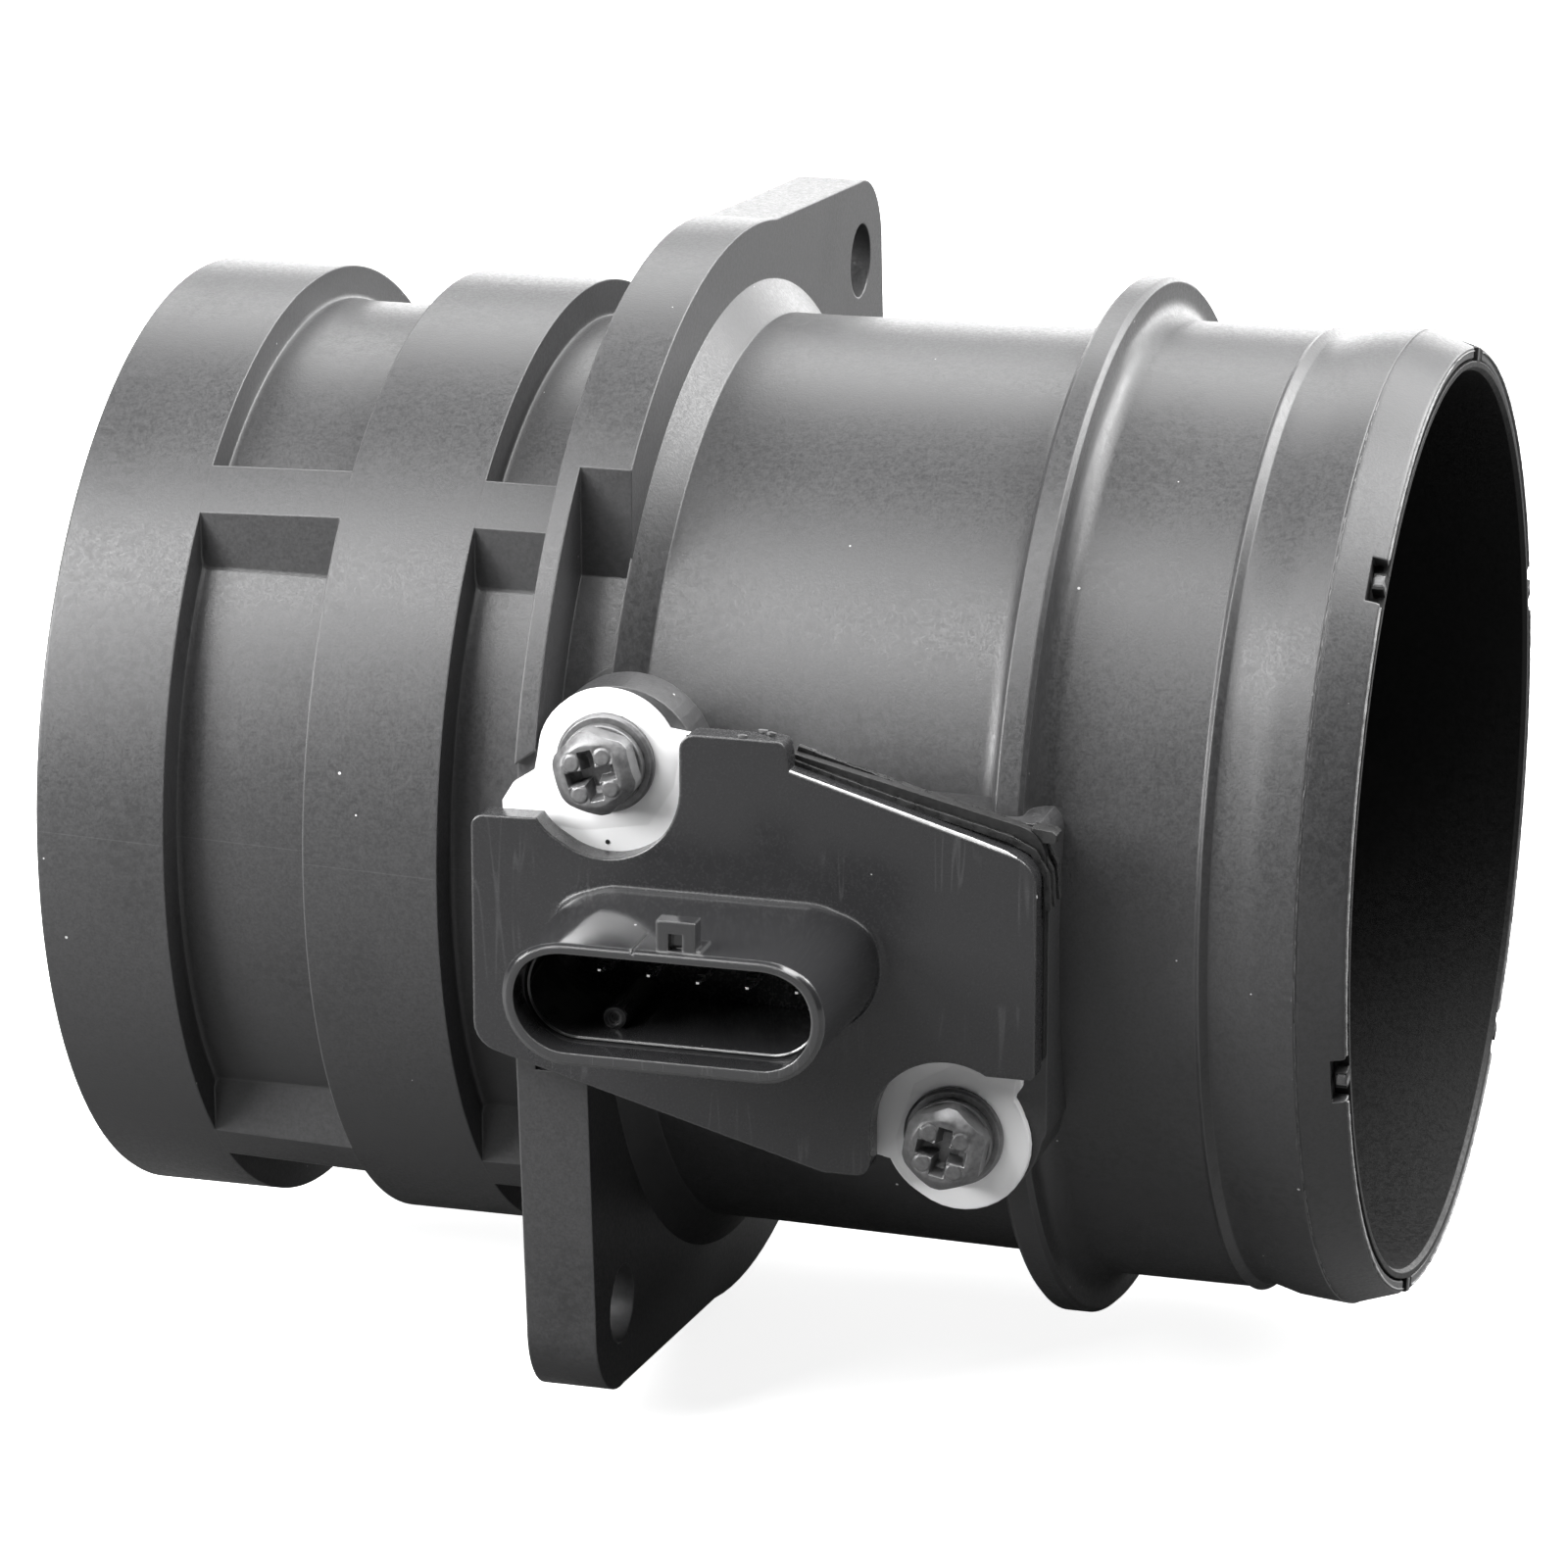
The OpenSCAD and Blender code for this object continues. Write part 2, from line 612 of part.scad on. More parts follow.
// Probe: collar in the pad's slot, blade with the air channel
module probe_blade(l, r, depth_low, depth_high, round_r) {
  plan(depth_low, depth_high - depth_low)
    polygon(soft([[l, blade_z], [r, blade_z], [r, blade_z + blade_t], [l, blade_z + blade_t]],
      [round_r, round_r, round_r, round_r]));
}
module channel_outline() {
  polygon(soft([
    [blade_r + past, channel_low], [riser_l, channel_low], [riser_l, channel_high - channel_w],
    [blade_l - past, channel_high - channel_w], [blade_l - past, channel_high], [riser_r, channel_high],
    [riser_r, channel_low + channel_w], [blade_r + past, channel_low + channel_w]],
    [0, 2.5, 0.8, 0, 0, 2.5, 0.8, 0]));
}
module probe_housing() {
  color("dimgray") difference() {
    union() {
      plan(pad_y - seat_depth, seat_depth) translate(hood_at) stadium(collar_half, slot_r + seat_w - loose);
      plan(collar_y, pad_y - seat_depth - collar_y) translate(hood_at) stadium(collar_half, collar_r);
      plan(pad_y, plate_t) translate(hood_at) square([neck_len, neck_t], center = true);
      probe_blade(blade_l, blade_r, tip_y, collar_y + past, 2.2);
    }
    difference() {
      plan(groove_y, ring_d + 2 * loose) translate(hood_at) stadium(collar_half, slot_r + past);
      plan(groove_y - past, ring_d + 4) translate(hood_at) stadium(collar_half, groove_r);
    }
    translate([0, 0, channel_z]) mirror([0, 1, 0]) linear_extrude(blade_t) channel_cut();
    translate([blade_l + lid_edge, -channel_high - lid_edge, lid_z])
      cube([blade_len - 2 * lid_edge, channel_high - channel_low + 2 * lid_edge, lid_t + past]);
  }
}
groove_y = collar_y + 2;
groove_r = slot_r - ring_d - 0.06;
module channel_cut() {
  intersection() {
    channel_outline();
    translate([blade_l - past, tip_y]) square([blade_len + 2 * past, collar_y]);
  }
}
module probe_lid() {
  color("dimgray") translate([blade_l + lid_edge + fit, -channel_high - lid_edge + fit, lid_z])
    cube([blade_len - 2 * (lid_edge + fit), channel_high - channel_low + 2 * (lid_edge - fit), lid_t]);
}
module seal_ring() {
  color("black") sweep_stadium(collar_half, hood_at, groove_y + loose + ring_d / 2)
    translate([slot_r - 0.03 - ring_d / 2, 0]) circle(d = ring_d, $fn = 24);
}

module circuit_board() {
  color("darkgreen") plan(plate_y, board_t) translate(board_at) square([board_len, board_w], center = true);
}
chip_h = bay_y - board_y - 0.1;

// Places and sizes of the chips, as shares of the board's length and width
chips = [[-0.33, -0.19, 0.18, 0.34], [-0.06, -0.22, 0.15, 0.28], [0.24, -0.21, 0.18, 0.34], [0.4, 0.21, 0.09, 0.17]];
module board_chips() {
  color("black") for (c = chips) plan(board_y, chip_h)
    translate([board_at[0] + c[0] * board_len, board_at[1] + c[1] * board_w])
      square([c[2] * board_len, c[3] * board_w], center = true);
}
module sensing_element() {
  middle = (riser_l + riser_r) / 2;
  color("white") translate([middle - 0.3, -channel_high + channel_w + 1, channel_z])
    cube([0.6, channel_high - channel_low - 2 * channel_w - 2, lid_z - channel_z - fit]);
}
module air_temperature_bead() {
  color("black") {
    translate([bead_at[0], bead_leads - collar_y, bead_at[1]]) sphere(r = bead_r, $fn = small);
    for (s = [-1, 1]) translate([0, 0, s * bead_r / 2]) plan(collar_y - bead_leads, bead_leads)
      translate(bead_at) circle(r = bead_r / 4, $fn = 24);
  }
}

module flat_washers() {
  color("slategray") plan(plate_y, washer_t) at_screws() difference() {
    circle(r = washer_r, $fn = small);
    circle(r = screw_d / 2 + loose, $fn = small);
  }
}
module spring_washers() {
  color("slategray") plan(plate_y + washer_t, spring_t) at_screws() difference() {
    circle(r = head_af / 2 + 0.2, $fn = small);
    circle(r = screw_d / 2 + loose, $fn = small);
    rotate(-30) translate([0, -0.4]) square([head_af, 0.8]);
  }
}
module screw(turn) {
  head_y = plate_y + washer_t + spring_t;
  slot_d = 1.9;
  difference() {
    union() {
      intersection() {
        rotate([90, 0, 0]) translate([0, 0, head_y]) rotate(turn) cylinder(d = head_af / cos(30), h = head_h, $fn = 6);
        rotate([90, 0, 0]) translate([0, 0, head_y]) rotate_extrude($fn = small)
          polygon([[0, 0], [head_af / 2 + 0.5, 0], [head_af / 2 + 0.5, head_h - 1],
            [head_af / 2, head_h - 0.35], [head_af / 2 - 0.6, head_h], [0, head_h]]);
      }
      plan(head_y - screw_len, screw_len + fit) circle(d = screw_d - 2 * fit, $fn = small);
    }
    for (a = [0, 90]) plan(head_y + head_h - slot_d, slot_d + past) rotate(turn + 15 + a) square([4.4, 1.05], center = true);
    plan(head_y + head_h - slot_d, slot_d + past) circle(d = 1.8, $fn = small);
  }
}
module sensor_screws() {
  color("dimgray") {
    translate([up[0], 0, up[1]]) screw(10);
    translate([low[0], 0, low[1]]) screw(-5);
  }
}

tube_housing();
threaded_inserts();
flow_grid();
wire_screen();
metal_plate();
seal_frame();
connector_cover();
probe_housing();
probe_lid();
seal_ring();
circuit_board();
board_chips();
sensing_element();
air_temperature_bead();
terminal(1);  // terminal_1
terminal(2);  // terminal_2
terminal(3);  // terminal_3
terminal(4);  // terminal_4
terminal(5);  // terminal_5
flat_washers();
spring_washers();
sensor_screws();
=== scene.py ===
"""Dresses the mass airflow sensor on its CAD frame: finishes, small parts, studio light and camera."""
from __future__ import annotations

import json
import logging
import math
from dataclasses import dataclass, field
from enum import Enum
from typing import Any, Callable, Sequence

import bmesh
import bpy
from mathutils import Matrix, Vector

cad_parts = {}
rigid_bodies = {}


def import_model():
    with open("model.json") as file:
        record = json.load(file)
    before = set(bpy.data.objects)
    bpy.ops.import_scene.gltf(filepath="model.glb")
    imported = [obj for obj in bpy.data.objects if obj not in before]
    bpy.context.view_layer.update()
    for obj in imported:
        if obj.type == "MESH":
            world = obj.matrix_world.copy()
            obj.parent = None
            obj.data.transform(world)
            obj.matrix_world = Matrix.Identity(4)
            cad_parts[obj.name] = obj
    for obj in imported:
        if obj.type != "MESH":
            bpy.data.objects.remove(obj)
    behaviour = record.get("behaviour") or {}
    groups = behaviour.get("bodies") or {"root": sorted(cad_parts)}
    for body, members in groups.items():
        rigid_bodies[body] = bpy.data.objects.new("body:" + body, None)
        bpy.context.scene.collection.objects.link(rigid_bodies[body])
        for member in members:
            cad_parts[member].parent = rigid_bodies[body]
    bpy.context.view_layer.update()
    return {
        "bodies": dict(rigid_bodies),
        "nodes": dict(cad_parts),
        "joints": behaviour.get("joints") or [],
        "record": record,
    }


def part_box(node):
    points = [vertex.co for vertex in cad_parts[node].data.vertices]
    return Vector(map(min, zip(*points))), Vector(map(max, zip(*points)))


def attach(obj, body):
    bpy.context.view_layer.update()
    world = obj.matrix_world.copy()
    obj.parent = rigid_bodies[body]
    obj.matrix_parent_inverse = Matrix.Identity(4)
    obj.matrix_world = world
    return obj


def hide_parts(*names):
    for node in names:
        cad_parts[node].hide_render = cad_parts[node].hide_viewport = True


LOG = logging.getLogger("airflow_sensor")
MM = 0.001
WELD = 2e-7
CREASE, CARRIED_CREASE, STRIP_CREASE = 30.0, 26.0, 50.0

Point = tuple[float, float, float]
Spot = tuple[float, float]
Mesh = bpy.types.Mesh
Node = bpy.types.Node
Object = bpy.types.Object
Socket = bpy.types.NodeSocket
Tree = bpy.types.NodeTree
Shape = Callable[[Mesh], Mesh]


# Node graphs
class Graph:
    """Adds nodes to one node tree and links them."""

    def __init__(self, tree: Tree) -> None:
        """Keeps the tree that the nodes go into."""
        self.tree = tree

    def feed(self, socket: Socket, value: Any) -> None:
        """Links a socket or sets its number.

        Args:
            socket: the input socket.
            value: another node's output, a node, or a plain value.
        """
        if isinstance(value, Node):
            value = value.outputs[0]
        if isinstance(value, Socket):
            self.tree.links.new(value, socket)
        else:
            socket.default_value = value

    def node(self, kind: str, inputs: dict[Any, Any] | None = None, **settings: Any) -> Node:
        """Adds one node.

        Args:
            kind: Blender's name of the node type.
            inputs: values or links by input name or number.
            settings: the node's own properties.

        Returns:
            The new node.
        """
        made = self.tree.nodes.new(kind)
        for key, value in settings.items():
            setattr(made, key, value)
        for key, value in (inputs or {}).items():
            self.feed(made.inputs[key], value)
        return made

    def math(self, operation: str, *values: Any, clamp: bool = False) -> Socket:
        """Adds a Math node and returns its result."""
        made = self.node("ShaderNodeMath", dict(enumerate(values)), operation=operation, use_clamp=clamp)
        return made.outputs[0]

    def times(self, first: Any, second: Any) -> Socket:
        """Multiplies two numbers."""
        return self.math("MULTIPLY", first, second)

    def vector(self, operation: str, *values: Any) -> Node:
        """Adds a Vector Math node."""
        return self.node("ShaderNodeVectorMath", dict(enumerate(values)), operation=operation)

    def combined(self, **values: Any) -> Node:
        """Joins numbers into a vector."""
        return self.node("ShaderNodeCombineXYZ", values)

    def apart(self, vector: Any) -> Any:
        """Splits a vector and returns its three numbers by axis."""
        return self.node("ShaderNodeSeparateXYZ", {0: vector}).outputs

    def noise(self, vector: Any, scale: Any, detail: float, **more: float) -> Socket:
        """Adds a noise texture and returns its value."""
        inputs = {"Vector": vector, "Scale": scale, "Detail": detail, **more}
        return self.node("ShaderNodeTexNoise", inputs).outputs[0]

    def spread(self, value: Any, low: float, high: float, start: float = 0.0, end: float = 1.0) -> Socket:
        """Maps a value from low..high to start..end, smoothly and held within them."""
        inputs = {0: value, 1: low, 2: high, 3: start, 4: end}
        return self.node("ShaderNodeMapRange", inputs, interpolation_type="SMOOTHSTEP").outputs[0]

    def mix(self, factor: Any, first: Any, second: Any) -> Socket:
        """Mixes two colours and returns the result."""
        inputs = {0: factor, 6: first, 7: second}
        return self.node("ShaderNodeMix", inputs, data_type="RGBA").outputs[2]


class Kind(Enum):
    """Socket types of the groups' inputs and outputs."""

    NUMBER = "NodeSocketFloat"
    WHOLE = "NodeSocketInt"
    VECTOR = "NodeSocketVector"
    GEOMETRY = "NodeSocketGeometry"
    OBJECT = "NodeSocketObject"
    MATERIAL = "NodeSocketMaterial"


def new_group(name: str, tree_type: str, inputs: dict[str, tuple[Kind, Any]],
              outputs: dict[str, Kind]) -> tuple[Graph, Any, Any]:
    """Makes an empty node group with its sockets.

    Args:
        name: the group's name.
        tree_type: ShaderNodeTree or GeometryNodeTree.
        inputs: kind and default of each input.
        outputs: kind of each output.

    Returns:
        The graph, what is given to it and the sockets of its results, both by name.
    """
    tree = bpy.data.node_groups.new(name, tree_type)
    for label, (kind, default) in inputs.items():
        socket = tree.interface.new_socket(label, in_out="INPUT", socket_type=kind.value)
        if default is not None:
            socket.default_value = default
    for label, kind in outputs.items():
        tree.interface.new_socket(label, in_out="OUTPUT", socket_type=kind.value)
    graph = Graph(tree)
    return graph, graph.node("NodeGroupInput").outputs, graph.node("NodeGroupOutput").inputs


def new_effect(name: str, scale: float, *results: str, **more: float) -> tuple[Graph, Any, Any]:
    """Makes an empty shader group that takes a place, a scale and other numbers.

    Args:
        name: the group's name.
        scale: the pattern's usual scale.
        results: names of its outputs, which are numbers.
        more: usual values of its other inputs.

    Returns:
        What new_group returns.
    """
    inputs = {"Vector": (Kind.VECTOR, None), "Scale": (Kind.NUMBER, scale)}
    inputs.update({label: (Kind.NUMBER, value) for label, value in more.items()})
    return new_group(name, "ShaderNodeTree", inputs, {label: Kind.NUMBER for label in results})


def new_tree(name: str, **inputs: tuple[Kind, Any]) -> tuple[Graph, Any, Any]:
    """Makes an empty Geometry Nodes tree that takes a material.

    Args:
        name: the tree's name.
        inputs: kind and default of its own inputs, with a line under each space.

    Returns:
        What new_group returns.
    """
    sockets = {"Geometry": (Kind.GEOMETRY, None)}
    sockets.update({label.replace("_", " "): value for label, value in inputs.items()})
    sockets["Material"] = (Kind.MATERIAL, None)
    return new_group(name, "GeometryNodeTree", sockets, {"Geometry": Kind.GEOMETRY})


# Shared surface effects
def moulded_grain() -> Tree:
    """Makes a fine moulded texture.

    Returns:
        The group, with a height for the bump and a tone for the colour.
    """
    g, given, out = new_effect("moulded_grain", 3000.0, "Height", "Tone")
    fine = g.noise(given["Vector"], given["Scale"], 3.0, Roughness=0.62)
    coarse = g.noise(given["Vector"], g.times(given["Scale"], 0.45), 2.0)
    g.feed(out["Height"], g.math("MULTIPLY_ADD", coarse, 0.3, fine))
    g.feed(out["Tone"], g.spread(g.math("MULTIPLY_ADD", coarse, 0.5, fine), 0.42, 1.08))
    return g.tree


def mottle() -> Tree:
    """Makes soft patches of fine dark speckles, as on moulded plastic that has been handled.

    Returns:
        The group, with their mask.
    """
    g, given, out = new_effect("mottle", 40.0, "Mask")
    broad = g.noise(given["Vector"], given["Scale"], 3.0, Roughness=0.55, Distortion=0.4)
    dots = g.noise(given["Vector"], g.times(given["Scale"], 34.0), 2.0)
    spotted = g.math("MULTIPLY_ADD", g.spread(dots, 0.44, 0.60), 0.7, 0.3)
    g.feed(out["Mask"], g.times(g.spread(broad, 0.50, 0.66), spotted))
    return g.tree


def specks() -> Tree:
    """Makes scattered bright specks of dust.

    Returns:
        The group, with their mask.
    """
    g, given, out = new_effect("specks", 620.0, "Mask", Amount=0.06, Size=0.062)
    cells = g.node("ShaderNodeTexVoronoi", {"Vector": given["Vector"], "Scale": given["Scale"]})
    pick = g.node("ShaderNodeSeparateColor", {0: cells.outputs["Color"]})
    chosen = g.math("LESS_THAN", pick.outputs[0], given["Amount"])
    reach = g.times(given["Size"], g.math("ADD", pick.outputs[1], 0.35))
    g.feed(out["Mask"], g.times(chosen, g.math("LESS_THAN", cells.outputs["Distance"], reach)))
    return g.tree


def edge_round() -> Tree:
    """Makes rounded edges.

    Returns:
        The group, with a normal that turns over each edge and a mask that is bright along it, which the
        finishes use for a painted edge highlight.
    """
    g, given, out = new_group(
        "edge_round", "ShaderNodeTree",
        {"Radius": (Kind.NUMBER, 0.0003), "Sharpness": (Kind.NUMBER, 5.0)},
        {"Normal": Kind.VECTOR, "Mask": Kind.NUMBER})
    rounded = g.node("ShaderNodeBevel", {"Radius": given["Radius"]}, samples=8)
    here = g.node("ShaderNodeNewGeometry")
    along = g.vector("DOT_PRODUCT", rounded, here.outputs["Normal"])
    bent = g.math("SUBTRACT", 1.0, along.outputs["Value"])
    g.feed(out["Normal"], rounded)
    g.feed(out["Mask"], g.math("MULTIPLY", bent, given["Sharpness"], clamp=True))
    return g.tree


def scratches() -> Tree:
    """Makes thin random scratches in two directions.

    Returns:
        The group, with their mask.
    """
    g, given, out = new_effect("scratches", 260.0, "Mask")
    found = []
    for turn, stretch in ((0.5, 0.05), (2.0, 0.07)):
        moved = g.node("ShaderNodeMapping", {
            "Vector": given["Vector"], "Rotation": (0.3, turn, 0.2), "Scale": (1.0, 1.0, stretch)})
        off = g.math("ABSOLUTE", g.math("SUBTRACT", g.noise(moved, given["Scale"], 2.0), 0.5))
        found.append(g.math("SUBTRACT", 1.0, g.spread(off, 0.0, 0.008)))
    broken = g.noise(given["Vector"], 130.0, 1.0)
    g.feed(out["Mask"], g.times(g.math("MAXIMUM", *found), g.spread(broken, 0.56, 0.66)))
    return g.tree


def brushed() -> Tree:
    """Makes the rolling marks on sheet metal.

    Returns:
        The group, with their height.
    """
    g, given, out = new_effect("brushed", 900.0, "Height")
    moved = g.node("ShaderNodeMapping", {"Vector": given["Vector"], "Scale": (0.06, 1.0, 1.0)})
    g.feed(out["Height"], g.noise(moved, given["Scale"], 3.0))
    return g.tree


class Effects:
    """The shared shader groups, each built once."""

    makers: dict[str, Callable[[], Tree]] = {
        "grain": moulded_grain, "mottle": mottle, "specks": specks,
        "edge": edge_round, "scratches": scratches, "brushed": brushed}

    def __init__(self) -> None:
        """Starts with no group built."""
        self.built: dict[str, Tree] = {}

    def place(self, graph: Graph, name: str, **values: Any) -> Node:
        """Puts a group into a material.

        Args:
            graph: the material's graph.
            name: which effect.
            values: its inputs, by name.

        Returns:
            The group node.
        """
        if name not in self.built:
            self.built[name] = self.makers[name]()
        return graph.node("ShaderNodeGroup", values, node_tree=self.built[name])


# Finishes
class Pattern(Enum):
    """What gives a surface its texture."""

    GRAIN = "grain"
    BRUSHED = "brushed"
    PLAIN = "plain"


@dataclass(frozen=True)
class Finish:
    """One material with its surface effects."""

    name: str
    colour: Point
    roughness: float
    metallic: float = 0.0
    specular: float = 0.5
    coat: float = 0.0
    pattern: Pattern = Pattern.GRAIN
    pattern_scale: float = 3000.0
    depth: float = 0.02
    tone_swing: float = 0.25
    patches: float = 0.0
    dust: float = 0.0
    edge_radius: float = 0.3
    # How much the colour is lightened along the edges: a painted highlight for light caught on rounded edges.
    edge_highlight: float = 0.0
    edge_sharpness: float = 5.0
    rough_swing: float = 0.08
    scratch: float = 0.0
    hood_gloss: float = 0.0
    hood_start: Spot = (0.0512, 0.0522)
    seam_z: float | None = None
    seam_rise: float = 0.03
    seam_half: float = 0.00009
    seam_end: float = -0.0057

    def tinted(self, factor: float, lift: float = 0.0) -> tuple[float, ...]:
        """The colour made lighter or darker, with its alpha."""
        return (*(min(1.0, c * factor + lift) for c in self.colour), 1.0)

    def textured(self, g: Graph, effects: Effects, where: Socket, normal: Socket) -> tuple[Any, Any, Any]:
        """Adds the pattern of the surface.

        Args:
            g: the material's graph.
            effects: the shared groups.
            where: the place on the piece.
            normal: the normal over the rounded edges.

        Returns:
            The colour, the roughness and the normal.
        """
        colour: Any = self.tinted(1.0)
        if self.pattern is Pattern.PLAIN:
            return colour, self.roughness, normal
        limits = (self.roughness - self.rough_swing, self.roughness + self.rough_swing)
        found = effects.place(g, self.pattern.value, Vector=where, Scale=self.pattern_scale).outputs
        if self.pattern is Pattern.GRAIN:
            dark, light = self.tinted(1 - self.tone_swing), self.tinted(1 + self.tone_swing)
            colour = g.mix(found["Tone"], dark, light)
            rough = g.spread(found["Tone"], 0.0, 1.0, *limits)
        else:
            rough = g.spread(found["Height"], 0.3, 0.7, *limits)
        bump = g.node("ShaderNodeBump", {
            "Strength": 1.0, "Distance": self.depth * MM, "Height": found["Height"], "Normal": normal})
        return colour, rough, bump

    def marked(self, g: Graph, effects: Effects, where: Socket, edge: Socket, colour: Any) -> Any:
        """Adds the patches, scratches, painted edge highlights, seam and dust that the finish has.

        Args:
            g: the material's graph.
            effects: the shared groups.
            where: the place on the piece.
            edge: the mask of the edges, which carries the painted edge highlight.
            colour: the colour so far.

        Returns:
            The colour with its marks.
        """
        if self.patches:
            patch = effects.place(g, "mottle", Vector=where, Scale=38.0)
            colour = g.mix(g.times(patch, self.patches), colour, self.tinted(0.55))
        if self.scratch:
            lines = effects.place(g, "scratches", Vector=where)
            colour = g.mix(g.times(lines, self.scratch), colour, self.tinted(2.2, 0.04))
        # Painted highlight: the edges' colour is lightened to stand in for light caught on rounded edges.
        if self.edge_highlight:
            colour = g.mix(edge, colour, self.tinted(1.0, self.edge_highlight))
        if self.seam_z is not None:
            colour = g.mix(g.times(self.seam(g, where), 0.35), colour, self.tinted(1.9))
        if self.dust:
            bits = effects.place(g, "specks", Vector=where, Amount=self.dust)
            colour = g.mix(bits, colour, (0.5, 0.5, 0.5, 1.0))
        return colour

    def seam(self, g: Graph, where: Socket) -> Socket:
        """Draws the mould's parting line along the banded end.

        Args:
            g: the material's graph.
            where: the place on the piece.

        Returns:
            The line's mask.
        """
        place = g.apart(where)
        level = g.math("MULTIPLY_ADD", place["X"], self.seam_rise, place["Z"])
        off = g.math("ABSOLUTE", g.math("SUBTRACT", level, self.seam_z * MM))
        near = g.times(g.math("LESS_THAN", place["X"], self.seam_end), g.math("LESS_THAN", place["Y"], 0.0))
        return g.times(g.math("SUBTRACT", 1.0, g.spread(off, 0.0, self.seam_half)), near)

    def material(self, effects: Effects) -> bpy.types.Material:
        """Builds the material.

        Args:
            effects: the shared groups.

        Returns:
            The new material.
        """
        made = bpy.data.materials.new(self.name)
        made.use_nodes = True
        made.node_tree.nodes.clear()
        g = Graph(made.node_tree)
        shader = g.node("ShaderNodeBsdfPrincipled", {
            "Metallic": self.metallic, "Specular IOR Level": self.specular,
            "Coat Weight": self.coat, "Coat Roughness": 0.12})
        g.node("ShaderNodeOutputMaterial", {"Surface": shader})
        where = g.node("ShaderNodeTexCoord").outputs["Object"]
        edge = effects.place(g, "edge", Radius=self.edge_radius * MM, Sharpness=self.edge_sharpness).outputs
        colour, rough, normal = self.textured(g, effects, where, edge["Normal"])
        if self.hood_gloss:
            out = g.times(g.apart(where)["Y"], -1.0)
            rough = g.times(rough, g.spread(out, *self.hood_start, 1.0, self.hood_gloss))
            g.feed(shader.inputs["Coat Weight"], g.spread(out, *self.hood_start, 0.0, 0.8))
        g.feed(shader.inputs["Base Color"], self.marked(g, effects, where, edge["Mask"], colour))
        g.feed(shader.inputs["Roughness"], rough)
        g.feed(shader.inputs["Normal"], normal)
        return made


MOULDED = Finish("moulded_plastic", (0.043, 0.043, 0.044), 0.4, pattern_scale=4200.0, depth=0.014,
                 tone_swing=0.2, patches=0.6, dust=0.05, edge_radius=0.25, edge_highlight=0.05, edge_sharpness=7.0,
                 seam_z=0.3)
BURR = Finish("moulding_burr", (0.085, 0.085, 0.086), 0.38, pattern_scale=1500.0, depth=0.03,
              tone_swing=0.6, edge_radius=0.08, edge_highlight=0.05)
# A light strip's colour that stands in for the light caught on the cover's slanted edge: a painted highlight.
SLANT_HIGHLIGHT = Finish("polished_edge", (0.55, 0.55, 0.55), 0.2, pattern_scale=1500.0, depth=0.01, tone_swing=0.25,
               edge_radius=0.05)
# Light colour that stands in for the light caught on the spigot's end face: a painted highlight.
RIM_HIGHLIGHT = Finish("worn_rim", (0.22, 0.22, 0.22), 0.4, pattern_scale=1500.0, depth=0.02, tone_swing=0.5,
              edge_radius=0.05)
RAGGED = Finish("rough_layer", (0.022, 0.022, 0.022), 0.3, pattern_scale=900.0, depth=0.05, tone_swing=0.5,
                edge_radius=0.1, edge_highlight=0.06)
# Near-black insert: its own dark plastic, made darker still as painted shade for the shaded inside of the
# bore.
INSERT = Finish("insert_plastic", (0.008, 0.008, 0.008), 0.5, specular=0.2, depth=0.02, edge_radius=0.15,
                edge_highlight=0.02)
SATIN = Finish("satin_plastic", (0.023, 0.023, 0.024), 0.24, pattern_scale=4200.0, depth=0.003,
               tone_swing=0.07, dust=0.02, edge_radius=0.4, edge_highlight=0.06, scratch=0.3, hood_gloss=0.35)
FRAME = Finish("frame_plastic", (0.012, 0.012, 0.012), 0.42, depth=0.02, edge_radius=0.12)
PROBE = Finish("probe_plastic", (0.028, 0.028, 0.03), 0.36, depth=0.015, edge_radius=0.2, edge_highlight=0.02)
CHIP = Finish("chip_plastic", (0.015, 0.015, 0.015), 0.5, edge_radius=0.08)
RUBBER = Finish("seal_rubber", (0.012, 0.012, 0.012), 0.55, depth=0.01, edge_radius=0.1)
SHEET = Finish("bright_sheet", (0.96, 0.96, 0.965), 0.5, metallic=0.05, pattern=Pattern.BRUSHED, depth=0.003,
               edge_radius=0.12, rough_swing=0.06)
WIRE = Finish("screen_wire", (0.55, 0.55, 0.55), 0.3, metallic=1.0, pattern=Pattern.PLAIN, edge_radius=0.05)
TIN = Finish("terminal_tin", (0.85, 0.85, 0.84), 0.24, metallic=1.0, pattern=Pattern.BRUSHED, depth=0.004,
             edge_radius=0.06)
PLATED = Finish("dark_steel", (0.17, 0.17, 0.172), 0.4, metallic=0.5, pattern_scale=2200.0, depth=0.012,
                edge_radius=0.12, edge_highlight=0.2, edge_sharpness=6.0, scratch=0.2)
BRASS = Finish("turned_brass", (0.72, 0.52, 0.24), 0.3, metallic=1.0, pattern=Pattern.BRUSHED, depth=0.01,
               edge_radius=0.1)
BOARD = Finish("board_green", (0.03, 0.14, 0.05), 0.35, depth=0.004, coat=0.4, edge_radius=0.1)
CERAMIC = Finish("white_ceramic", (0.78, 0.77, 0.72), 0.45, depth=0.006, tone_swing=0.05, edge_radius=0.1)
GLASS = Finish("coated_bead", (0.03, 0.014, 0.008), 0.12, coat=0.8, pattern=Pattern.PLAIN, edge_radius=0.1)


# Outlines and meshes
def held(value: float) -> float:
    """Holds a value between 0 and 1."""
    return max(0.0, min(1.0, value))


def even(steps: int) -> list[float]:
    """Angles in radians, once round in even steps."""
    return [2 * math.pi * i / steps for i in range(steps)]


